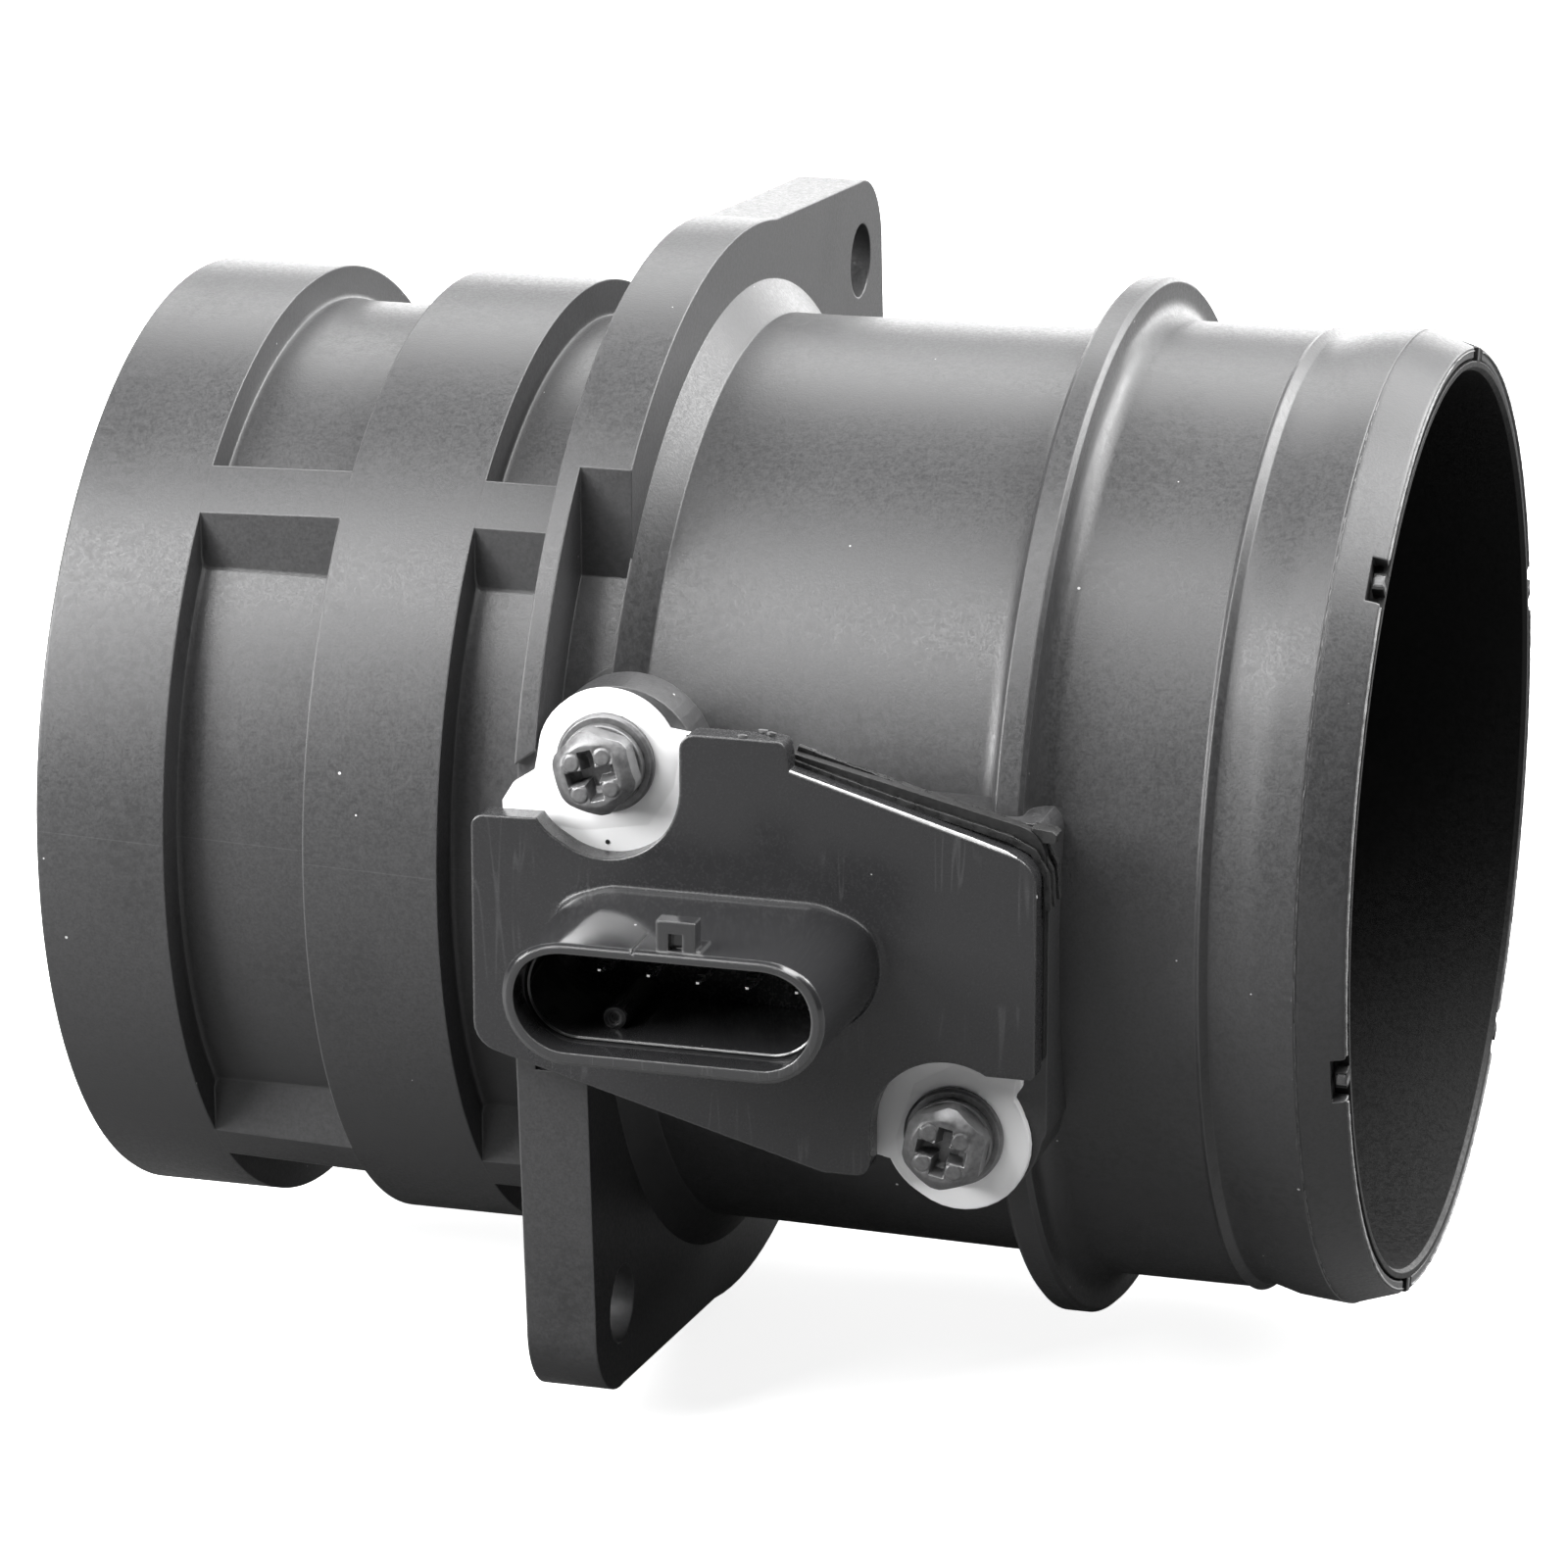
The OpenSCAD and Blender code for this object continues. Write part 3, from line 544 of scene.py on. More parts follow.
def circle(centre: Spot, radius: float, steps: int) -> list[Spot]:
    """Places points round a circle."""
    return [(centre[0] + radius * math.cos(a), centre[1] + radius * math.sin(a)) for a in even(steps)]


def arc(centre: Spot, radius: float, first: float, last: float, steps: int) -> list[Spot]:
    """Places points along an arc, from one angle in degrees to another."""
    angles = [math.radians(first + (last - first) * i / steps) for i in range(steps + 1)]
    return [(centre[0] + radius * math.cos(a), centre[1] + radius * math.sin(a)) for a in angles]


def new_object(name: str, data: Any) -> Object:
    """Makes an object and links it to the scene."""
    made = bpy.data.objects.new(name, data)
    bpy.context.scene.collection.objects.link(made)
    return made


def smoothed(mesh: Mesh, crease: float) -> None:
    """Shades a mesh smooth, apart from edges sharper than an angle in degrees."""
    mesh.shade_smooth()
    mesh.set_sharp_from_angle(angle=math.radians(crease))


def link(mesh: Mesh, name: str, finish: bpy.types.Material, crease: float = CREASE) -> Object:
    """Makes an object of a mesh, smooth apart from its creases.

    Args:
        mesh: the mesh, in the row frame.
        name: the piece's name.
        finish: its material.
        crease: the angle in degrees from which an edge stays sharp.

    Returns:
        The object, linked to the scene.
    """
    mesh.materials.clear()
    mesh.materials.append(finish)
    smoothed(mesh, crease)
    return new_object(name, mesh)


def skin(name: str, loops: Sequence[Sequence[Point]], ring: bool = False) -> Mesh:
    """Joins loops of points by faces into one closed shell.

    Args:
        name: the mesh's name.
        loops: closed loops with as many points each, in millimetres.
        ring: True if the last loop joins the first, otherwise both ends get a cap.

    Returns:
        The mesh, in metres, with its faces outwards.
    """
    form = bmesh.new()
    rows = [[form.verts.new(Vector(p) * MM) for p in loop] for loop in loops]
    count = len(rows[0])
    pairs = list(zip(rows, rows[1:])) + ([(rows[-1], rows[0])] if ring else [])
    for first, second in pairs:
        for i in range(count):
            j = (i + 1) % count
            form.faces.new((first[i], first[j], second[j], second[i]))
    if not ring:
        form.faces.new(rows[0])
        form.faces.new(rows[-1])
    bmesh.ops.recalc_face_normals(form, faces=form.faces)
    mesh = bpy.data.meshes.new(name)
    form.to_mesh(mesh)
    form.free()
    return mesh


def turned(name: str, profile: Sequence[Spot], steps: int = 216) -> Mesh:
    """Turns a closed profile of (x, radius) about the duct's axis."""
    loops = [[(x, -r * math.cos(a), r * math.sin(a)) for x, r in profile] for a in even(steps)]
    return skin(name, loops, ring=True)


def pipe(name: str, first: float, last: float, inner: float, outer: float) -> Mesh:
    """Makes a thick pipe on the duct's axis between two places along it."""
    return turned(name, [(first, inner), (first, outer), (last, outer), (last, inner)])


def prism(name: str, outline: Sequence[Spot], near: float, far: float) -> Mesh:
    """Makes a straight block on an outline of (x, z) between two depths y."""
    return skin(name, [[(x, y, z) for x, z in outline] for y in (near, far)])


def block(name: str, low: Point, high: Point) -> Mesh:
    """Makes a box between two corners."""
    outline = [(low[0], low[2]), (high[0], low[2]), (high[0], high[2]), (low[0], high[2])]
    return prism(name, outline, low[1], high[1])


def round_bar(name: str, centre: Spot, radius: float, near: float, far: float, steps: int = 96) -> Mesh:
    """Makes a round bar that stands on the module's plan."""
    return prism(name, circle(centre, radius, steps), near, far)


def together(name: str, meshes: Sequence[Mesh]) -> Mesh:
    """Puts closed shells that don't touch into one mesh.

    Args:
        name: the new mesh's name.
        meshes: the shells.

    Returns:
        The mesh with all of them.
    """
    form = bmesh.new()
    for mesh in meshes:
        form.from_mesh(mesh)
    whole = bpy.data.meshes.new(name)
    form.to_mesh(whole)
    form.free()
    return whole


class Step(Enum):
    """What a tool does to the mesh that it meets."""

    CUT = "DIFFERENCE"
    ADD = "UNION"


def worked(mesh: Mesh, tool: Mesh, step: Step) -> Mesh:
    """Cuts a tool's form out of a mesh, or adds it.

    Args:
        mesh: the closed mesh.
        tool: the tool's closed mesh.
        step: cut or add.

    Returns:
        The new mesh.
    """
    objects = [new_object(part.name, part) for part in (mesh, tool)]
    action = objects[0].modifiers.new("work", "BOOLEAN")
    action.operation = step.value
    action.solver = "EXACT"
    action.object = objects[1]
    ready = objects[0].evaluated_get(bpy.context.evaluated_depsgraph_get())
    result = bpy.data.meshes.new_from_object(ready)
    for made in objects:
        bpy.data.objects.remove(made)
    return plain_copy(result, mesh.name)


def plain_copy(mesh: Mesh, name: str) -> Mesh:
    """Copies a mesh's points and faces alone, with points in one place joined.

    Args:
        mesh: the mesh to copy.
        name: the copy's name.

    Returns:
        The copy.
    """
    form = bmesh.new()
    form.from_mesh(mesh)
    bmesh.ops.remove_doubles(form, verts=form.verts, dist=WELD)
    form.verts.index_update()
    fresh = bpy.data.meshes.new(name)
    faces = [[v.index for v in face.verts] for face in form.faces]
    fresh.from_pydata([v.co[:] for v in form.verts], [], faces)
    form.free()
    return fresh


def grown(tree: Tree, name: str, values: dict[str, Any], crease: float = CREASE) -> Object:
    """Runs a Geometry Nodes tree and keeps its result as a plain mesh.

    Args:
        tree: the tree, which ends in Realize Instances and Set Material.
        name: the piece's name.
        values: the tree's inputs, by name. A mesh goes in on an object of its own.
        crease: the angle in degrees from which an edge stays sharp.

    Returns:
        The object with the plain mesh.
    """
    made = new_object(name, bpy.data.meshes.new(name))
    lent = {key: new_object(f"{name}_{key}", value)
            for key, value in values.items() if isinstance(value, Mesh)}
    modifier = made.modifiers.new("grow", "NODES")
    modifier.node_group = tree
    for item in tree.interface.items_tree:
        if item.in_out == "INPUT" and item.name in values:
            modifier[item.identifier] = lent.get(item.name, values[item.name])
    ready = made.evaluated_get(bpy.context.evaluated_depsgraph_get())
    mesh = bpy.data.meshes.new_from_object(ready)
    made.modifiers.clear()
    made.data = mesh
    smoothed(mesh, crease)
    for pattern in lent.values():
        bpy.data.objects.remove(pattern)
    return made


# Trees of repeated pieces
def finished(g: Graph, given: Any, out: Any, geometry: Any) -> Tree:
    """Ends a tree with plain geometry in its material.

    Args:
        g: the tree's graph.
        given: its inputs.
        out: its outputs.
        geometry: what it has made.

    Returns:
        The whole tree.
    """
    solid = g.node("GeometryNodeRealizeInstances", {"Geometry": geometry})
    g.feed(out[0], g.node("GeometryNodeSetMaterial", {"Geometry": solid, "Material": given["Material"]}))
    return g.tree


def copied(g: Graph, given: Any, out: Any, points: Node, angles: dict[str, float], axis: str) -> Tree:
    """Ends a tree with copies of its part, each turned by one step more than the one before.

    Args:
        g: the tree's graph.
        given: its inputs.
        out: its outputs.
        points: where the copies stand.
        angles: turns about the other axes, in radians.
        axis: the axis that the steps go round.

    Returns:
        The whole tree.
    """
    turn = g.math("MULTIPLY_ADD", g.node("GeometryNodeInputIndex"), given["Turn Step"], given["First Turn"])
    part = g.node("GeometryNodeObjectInfo", {"Object": given["Part"]})
    placed = g.node("GeometryNodeInstanceOnPoints", {
        "Points": points, "Instance": part.outputs["Geometry"],
        "Rotation": g.node("FunctionNodeEulerToRotation", {0: g.combined(**angles, **{axis: turn})})})
    return finished(g, given, out, placed)


def screw_line_tree() -> Tree:
    """Makes the tree that stands a part on both ends of the screws' line.

    Returns:
        The tree.
    """
    g, given, out = new_tree(
        "screw_line", Part=(Kind.OBJECT, None), First=(Kind.VECTOR, None), Second=(Kind.VECTOR, None),
        First_Turn=(Kind.NUMBER, 0.0), Turn_Step=(Kind.NUMBER, 0.0))
    line = g.node("GeometryNodeMeshLine", {
        "Count": 2, "Start Location": given["First"], 3: given["Second"]}, mode="END_POINTS")
    return copied(g, given, out, line, {"X": math.radians(90)}, "Y")


def turned_copies_tree() -> Tree:
    """Makes the tree that turns copies of a part about the duct's axis.

    Returns:
        The tree.
    """
    g, given, out = new_tree(
        "turned_copies", Part=(Kind.OBJECT, None), Count=(Kind.WHOLE, 6),
        First_Turn=(Kind.NUMBER, 0.0), Turn_Step=(Kind.NUMBER, 1.0))
    inputs = {"Count": given["Count"], "Offset": (0.0, 0.0, 0.0)}
    row = g.node("GeometryNodeMeshLine", inputs, mode="OFFSET")
    return copied(g, given, out, row, {}, "X")


def woven_screen_tree() -> Tree:
    """Makes the tree of a round woven screen, its wires passing over and under each other.

    Returns:
        The tree.
    """
    g, given, out = new_tree(
        "woven_screen", Middle=(Kind.VECTOR, None), Reach=(Kind.NUMBER, 0.03), Pitch=(Kind.NUMBER, 0.0015),
        Wire=(Kind.NUMBER, 0.00015), Count=(Kind.WHOLE, 49))
    pitch, thick, count = given["Pitch"], given["Wire"], given["Count"]
    half_pitch = g.times(pitch, 0.5)
    half = g.times(half_pitch, g.math("SUBTRACT", count, 1.0))
    row = g.node("GeometryNodeMeshLine", {
        "Count": count, "Start Location": g.combined(Y=g.times(half, -1.0)),
        "Offset": g.combined(Y=pitch)}, mode="OFFSET")
    across = g.apart(g.node("GeometryNodeInputPosition"))["Y"]
    squared = g.math("SUBTRACT", g.math("POWER", given["Reach"], 2.0), g.math("POWER", across, 2.0))
    length = g.math("SQRT", g.math("MAXIMUM", squared, 1e-8))
    wire = g.node("GeometryNodeCurvePrimitiveLine", {"Start": (0, 0, -1), "End": (0, 0, 1)})
    strung = g.node("GeometryNodeInstanceOnPoints", {
        "Points": row, "Instance": wire, "Scale": g.combined(X=1.0, Y=1.0, Z=length)})
    wires = g.node("GeometryNodeRealizeInstances", {"Geometry": strung})
    fine = g.node("GeometryNodeResampleCurve", {"Curve": wires, "Length": half_pitch}, mode="LENGTH")
    spot = g.apart(g.node("GeometryNodeInputPosition"))
    phase = [g.math("COSINE", g.times(g.math("DIVIDE", spot[axis], pitch), math.pi)) for axis in "YZ"]
    lift = g.times(g.times(*phase), g.times(thick, 1.05))
    waved = g.node("GeometryNodeSetPosition", {"Geometry": fine, "Offset": g.combined(X=lift)})
    upright = g.node("GeometryNodeTransform", {"Geometry": waved, "Rotation": (math.radians(90), 0, 0)})
    flipped = g.node("GeometryNodeTransform", {"Geometry": upright, "Scale": (-1, 1, 1)})
    both = g.node("GeometryNodeJoinGeometry")
    for layer in (waved, flipped):
        g.feed(both.inputs[0], layer)
    section = g.node("GeometryNodeCurvePrimitiveCircle", {"Resolution": 6, "Radius": thick})
    round_wire = g.node("GeometryNodeCurveToMesh", {
        "Curve": both, "Profile Curve": section, "Fill Caps": True})
    moved = g.node("GeometryNodeTransform", {"Geometry": round_wire, "Translation": given["Middle"]})
    return finished(g, given, out, moved)


def ragged_strip_tree() -> Tree:
    """Makes the tree of a thin moulded strip with a rough outline, which follows the points of a path.

    Returns:
        The tree.
    """
    g, given, out = new_tree(
        "ragged_strip", Path=(Kind.OBJECT, None), Width=(Kind.NUMBER, 0.001),
        Thickness=(Kind.NUMBER, 0.0005), Step=(Kind.NUMBER, 0.0002), Roughness=(Kind.NUMBER, 0.0001),
        Grain=(Kind.NUMBER, 900.0), Seed=(Kind.NUMBER, 1.0))
    path = g.node("GeometryNodeObjectInfo", {"Object": given["Path"]})
    curve = g.node("GeometryNodeMeshToCurve", {"Mesh": path.outputs["Geometry"]})
    fine = g.node("GeometryNodeResampleCurve", {"Curve": curve, "Length": given["Step"]}, mode="LENGTH")
    upright = g.node("GeometryNodeSetCurveNormal", {"Curve": fine, "Normal": (0.0, -1.0, 0.0)}, mode="FREE")
    section = g.node("GeometryNodeCurvePrimitiveQuadrilateral", {
        "Width": given["Thickness"], "Height": given["Width"]})
    round_section = g.node("GeometryNodeResampleCurve", {"Curve": section, "Count": 16})
    body = g.node("GeometryNodeCurveToMesh", {
        "Curve": upright, "Profile Curve": round_section, "Fill Caps": True})
    offset = g.node("ShaderNodeTexNoise", {
        "Vector": g.node("GeometryNodeInputPosition"), "W": given["Seed"], "Scale": given["Grain"],
        "Detail": 2.0}, noise_dimensions="4D")
    push = g.vector("SCALE", g.vector("SUBTRACT", offset.outputs["Color"], (0.5, 0.5, 0.5)))
    g.feed(push.inputs["Scale"], g.times(given["Roughness"], 3.0))
    rough = g.node("GeometryNodeSetPosition", {"Geometry": body, "Offset": push})
    return finished(g, given, out, rough)


# What every sub-assembly builds with
@dataclass(frozen=True)
class StripSize:
    """Section and roughness of a ragged strip, in millimetres."""

    width: float
    thick: float
    rough: float
    step: float = 0.25
    grain: float = 900.0
    seed: float = 1.0
    closed: bool = False


@dataclass
class Shop:
    """The frame, the materials and the trees, and what makes pieces with them."""

    frame: dict[str, Any]
    effects: Effects = field(default_factory=Effects)
    stock: dict[str, bpy.types.Material] = field(default_factory=dict)
    trees: dict[str, Tree] = field(default_factory=dict)
    bevel_share: float = 0.03
    bevel_depth: float = 0.08

    def paint(self, finish: Finish) -> bpy.types.Material:
        """Returns the material of a finish, built once."""
        if finish.name not in self.stock:
            self.stock[finish.name] = finish.material(self.effects)
        return self.stock[finish.name]

    def settle(self, piece: Object, node: str) -> None:
        """Rides a piece on the root body.

        Args:
            piece: the finished piece.
            node: the CAD node that it belongs to; not used.
        """
        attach(piece, "root")

    def carry(self, node: str, name: str, finish: Finish, shape: Shape | None = None) -> None:
        """Makes the piece that stands for a CAD node, with the node's own shape and smooth curves.

        Args:
            node: the CAD node.
            name: the piece's name.
            finish: its finish.
            shape: what is done to the copy's form first, if anything.
        """
        mesh = plain_copy(self.frame["nodes"][node].data, name)
        if shape:
            mesh = shape(mesh)
        piece = link(mesh, name, self.paint(finish), CARRIED_CREASE)
        weighted = piece.modifiers.new("even_normals", "WEIGHTED_NORMAL")
        weighted.keep_sharp = True
        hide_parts(node)
        self.settle(piece, node)

    def shell(self, name: str, mesh: Mesh, node: str, finish: Finish) -> None:
        """Makes a piece of a mesh, beside the one that stands for its CAD node."""
        self.settle(link(mesh, name, self.paint(finish)), node)

    def strip(self, name: str, points: Sequence[Point], size: StripSize, node: str, finish: Finish) -> None:
        """Makes a ragged strip along a path.

        Args:
            name: the piece's name.
            points: the path, in millimetres.
            size: the strip's section and roughness.
            node: the CAD node that it belongs to.
            finish: its finish.
        """
        mesh = bpy.data.meshes.new(name + "_path")
        count = len(points)
        edges = [(i, i + 1) for i in range(count - 1)] + ([(count - 1, 0)] if size.closed else [])
        mesh.from_pydata([Vector(p) * MM for p in points], edges, [])
        if "strip" not in self.trees:
            self.trees["strip"] = ragged_strip_tree()
        piece = grown(self.trees["strip"], name, {
            "Path": mesh, "Width": size.width * MM, "Thickness": size.thick * MM, "Step": size.step * MM,
            "Roughness": size.rough * MM, "Grain": size.grain, "Seed": size.seed,
            "Material": self.paint(finish)}, STRIP_CREASE)
        self.settle(piece, node)

    def plate(self, name: str, outline: Sequence[Spot], span: Spot, node: str, finish: Finish) -> None:
        """Makes a flat piece in the module's plan, with a small broken edge in front.

        Args:
            name: the piece's name.
            outline: its outline as (x, z), in millimetres.
            span: the depths y of its back and its front face.
            node: the CAD node that it belongs to.
            finish: its finish.
        """
        near, far = span
        count, share = len(outline), self.bevel_share
        mid = (sum(x for x, _ in outline) / count, sum(z for _, z in outline) / count)
        small = [(x + (mid[0] - x) * share, z + (mid[1] - z) * share) for x, z in outline]
        loops = [[(x, y, z) for x, z in line]
                 for line, y in ((outline, near), (outline, far + self.bevel_depth), (small, far))]
        self.shell(name, skin(name, loops), node, finish)


# Places of the two screws in the module's plan, in the solids and as the photograph has them
PLAN_UP, PLAN_LOW = (8.9, 13.1), (38.9, -15.5)
SCREW_UP, SCREW_LOW = (8.2, 13.95), (38.7, -16.4)


# Sub-assemblies
@dataclass
class Duct:
    """The moulded duct, with the forms of the photograph worked into its copy."""

    shop: Shop
    burr_x: float = 66.55
    burr_r: float = 43.17
    floor_r: float = 39.6
    foot_r: float = 0.6
    rib_front: float = 31.8
    rib_back: float = 28.4
    bays: tuple[tuple[float, ...], ...] = ((-33.9, -20.95, 42.75, 43.05), (-8.7, 0.0, 43.05, 43.05))
    pad_top: float = 11.3
    boss: Spot = PLAN_UP
    boss_r: float = 7.2
    boss_foot: float = -42.0
    boss_core: float = 5.0
    room: float = 0.04
    start_x: float = -45.85
    filter_cut: float = -0.02
    hose_cut: float = 66.9
    end_x: float = 70.85
    notch_depth: float = 1.2
    notch_w: float = 4.2
    notch_turn: float = 15.0
    notch_step: float = 60.0
    line_proud: float = 0.22
    line_r: float = 41.62
    line_gap: float = 3.2
    stop_middle: float = 42.25

    def build(self) -> None:
        """Makes the duct and dresses it."""
        self.shop.carry("tube_housing", "duct_body", MOULDED, self.shaped)
        self.shop.carry("threaded_inserts", "thread_bushes", BRASS)
        self.shop.shell("tube_sleeve", self.sleeve(), "tube_housing", MOULDED)
        burr = [(self.burr_x, y, z) for y, z in circle((0.0, 0.0), self.burr_r, 180)]
        size = StripSize(0.30, 0.22, 0.11, 0.5, 1300.0, 3.0, closed=True)
        self.shop.strip("bead_burr", burr, size, "tube_housing", BURR)
        self.rim_lines()

    def shaped(self, mesh: Mesh) -> Mesh:
        """Works the pad, the boss, the ear's clearance and both ends into the copy.

        Args:
            mesh: the housing's copy.

        Returns:
            The housing with these forms.
        """
        wastes = together("end_wastes", [
            pipe("hose_waste", self.hose_cut, 73.0, 20.0, 50.0),
            pipe("filter_waste", -50.0, self.filter_cut, 20.0, 60.0)])
        cuts = (wastes, self.pad_waste(), self.boss_waste(), self.ear_clearance())
        for step, tool in (*((Step.CUT, waste) for waste in cuts), (Step.ADD, self.rim())):
            mesh = worked(mesh, tool, step)
            LOG.info("%s: %d faces", tool.name, len(mesh.polygons))
        return together("duct_body", [mesh, self.banded_end(), *self.ribs()])

    def tube_line(self) -> list[Spot]:
        """The tube's outside from the flange over the hose stop to the plain spigot, as (x, radius)."""
        return [(6.2, 44.1), (8.5, 41.0), (12.9, 41.0), *arc((38.7, 43.65), 2.2, -90.0, 0.0, 6),
                (40.9, 45.95), (41.3, 46.35), (43.2, 46.35), (43.6, 45.95),
                *arc((45.6, 44.6), 2.0, 180.0, 270.0, 6)]

    def sleeve(self) -> Mesh:
        """Makes the tube's smooth outside from the flange to the bead, in finer steps.

        Returns:
            The thin closed sleeve.
        """
        bead = [(57.95, 42.6), (58.35, 42.85), (59.05, 42.25), (60.05, 42.2), (62.35, 42.85), (63.85, 43.0),
                (66.55, 43.24)]
        outside = [(x + math.copysign(self.room / 2, x - self.stop_middle), r + 2 * self.room)
                   for x, r in self.tube_line() + bead]
        return turned("sleeve", [(6.2, 40.2), *outside, (66.55, 41.6), (41.0, 41.6), (40.9, 40.2)])

    def foot(self, x: float) -> list[Spot]:
        """The fillet between a band's side at x and the floor of the recess beyond it."""
        floor, size = self.floor_r, self.foot_r
        return [(x, floor + size), (x + 0.3 * size, floor + 0.3 * size), (x + size, floor)]

    def banded_end(self) -> Mesh:
        """Makes the end towards the filter box, with its two bands and the recesses next to them.

        Returns:
            The closed end.
        """
        (first, low, r_1, r_2), (third, _, _, _) = self.bays
        floor, start = self.floor_r, self.start_x
        return turned("banded_end", [
            (start, 38.4), (start, r_1 - 0.4), (start + 0.12, r_1 - 0.12), (start + 0.4, r_1), (first, r_1),
            *self.foot(first), (low, floor), (low, r_2), (third, r_2), *self.foot(third), (0.3, floor),
            (0.3, 35.82), (-8.7, 35.8), (start + 2.0, 37.2)])

    def ribs(self) -> list[Mesh]:
        """Makes the eight rib lengths: tops round like the bands, walls square to the module's plane.

        Returns:
            The closed ribs.
        """
        made = []
        for first, last, r_first, r_last in self.bays:
            ends = ((first - 0.5, r_first - 1.2), (first, r_first),
                    (last, r_last), (last + 0.5, r_last - 1.2))
            for sy, sz in ((-1, -1), (-1, 1), (1, -1), (1, 1)):
                loops = []
                for x, r in ends:
                    front, back = (math.degrees(math.acos(y / r)) for y in (self.rib_front, self.rib_back))
                    line = arc((0.0, 0.0), r, front, back, 6)
                    line += [(self.rib_back, 25.0), (self.rib_front, 21.0)]
                    loops.append([(x, sy * y, sz * z) for y, z in line])
                made.append(skin("rib", loops))
        return made

    def tube_core(self) -> Mesh:
        """The round forms under the pad, with a hair's breadth of room, which its cuts leave whole."""
        profile = [(0.5, 49.6), (1.7, 49.6), (1.7, 43.0), (6.2, 43.0), *self.tube_line(), (52.0, 42.6)]
        return turned("tube_core", [(0.5, 20.0), *((x, r + self.room) for x, r in profile), (52.0, 20.0)])

    def pad_waste(self) -> Mesh:
        """What is cut off the pad above its level top edge."""
        waste = block("pad_waste", (self.boss[0], -47.0, self.pad_top), (48.5, -30.0, 24.0))
        waste = worked(waste, round_bar("boss", self.boss, self.boss_r, -49.0, -28.0), Step.CUT)
        return worked(waste, self.tube_core(), Step.CUT)

    def boss_waste(self) -> Mesh:
        """Makes what is cut round the upper boss behind its head.

        Returns:
            The closed cutter.
        """
        x, z = self.boss
        under, top = self.boss_foot - 1.0, self.pad_top + self.room
        side = 9.0
        keep = [(x - side, z - side), (x + side, z - side), (x + side, top), (x, top), (x, 15.2),
                (x - side, 15.2)]
        waste = round_bar("boss_waste", self.boss, self.boss_r + 0.4, self.boss_foot, -29.0)
        for tool in (round_bar("stem", self.boss, self.boss_core, under, -28.0, 48),
                     prism("keep", keep, under, -28.0), self.tube_core()):
            waste = worked(waste, tool, Step.CUT)
        return waste

    def ear_clearance(self) -> Mesh:
        """What is cut out of the flange's front for the metal plate's upper ear."""
        outline = [(-0.01, 9.4), (-0.01, 12.95), (0.3, 13.15), (2.1, 14.55), (3.3, 15.6), (7.0, 15.6),
                   (7.0, 9.4)]
        return prism("ear_clearance", outline, -46.75, -51.0)

    def rim(self) -> Mesh:
        """Makes the end of the spigot beyond the bead, with the notches that the insert's lugs lock in.

        Returns:
            The closed rim.
        """
        end, half = self.end_x - self.line_proud, self.notch_w / 2
        ring = turned("rim", [
            (65.9, 41.3), (65.9, 42.3), (66.9, 43.162), (end - 0.25, 42.07), (end, 41.85), (end, 41.0),
            (end - 0.15, 40.85), (66.9, 40.85), (66.9, 41.3)])
        notches = []
        for i in range(6):
            notch = block("notch", (end - self.notch_depth, -43.6, -half), (end + 1.0, -40.3, half))
            notch.transform(Matrix.Rotation(math.radians(self.notch_turn + self.notch_step * i), 4, "X"))
            notches.append(notch)
        return worked(ring, together("notches", notches), Step.CUT)

    def rim_lines(self) -> None:
        """Makes the bright line on the end face, a painted highlight where the face catches the light, with
        gaps at the notches.
        """
        x = self.end_x - self.line_proud
        for i in range(6):
            first = self.notch_turn + self.notch_step * i + self.line_gap
            last = first + self.notch_step - 2 * self.line_gap
            line = arc((0.0, 0.0), self.line_r, first, last, 30)
            size = StripSize(0.32, 0.32, 0.04, 0.4, 1100.0, 11.0 + i)
            self.shop.strip(f"rim_line_{i + 1}", [(x, -y, -z) for y, z in line], size, "tube_housing", RIM_HIGHLIGHT)


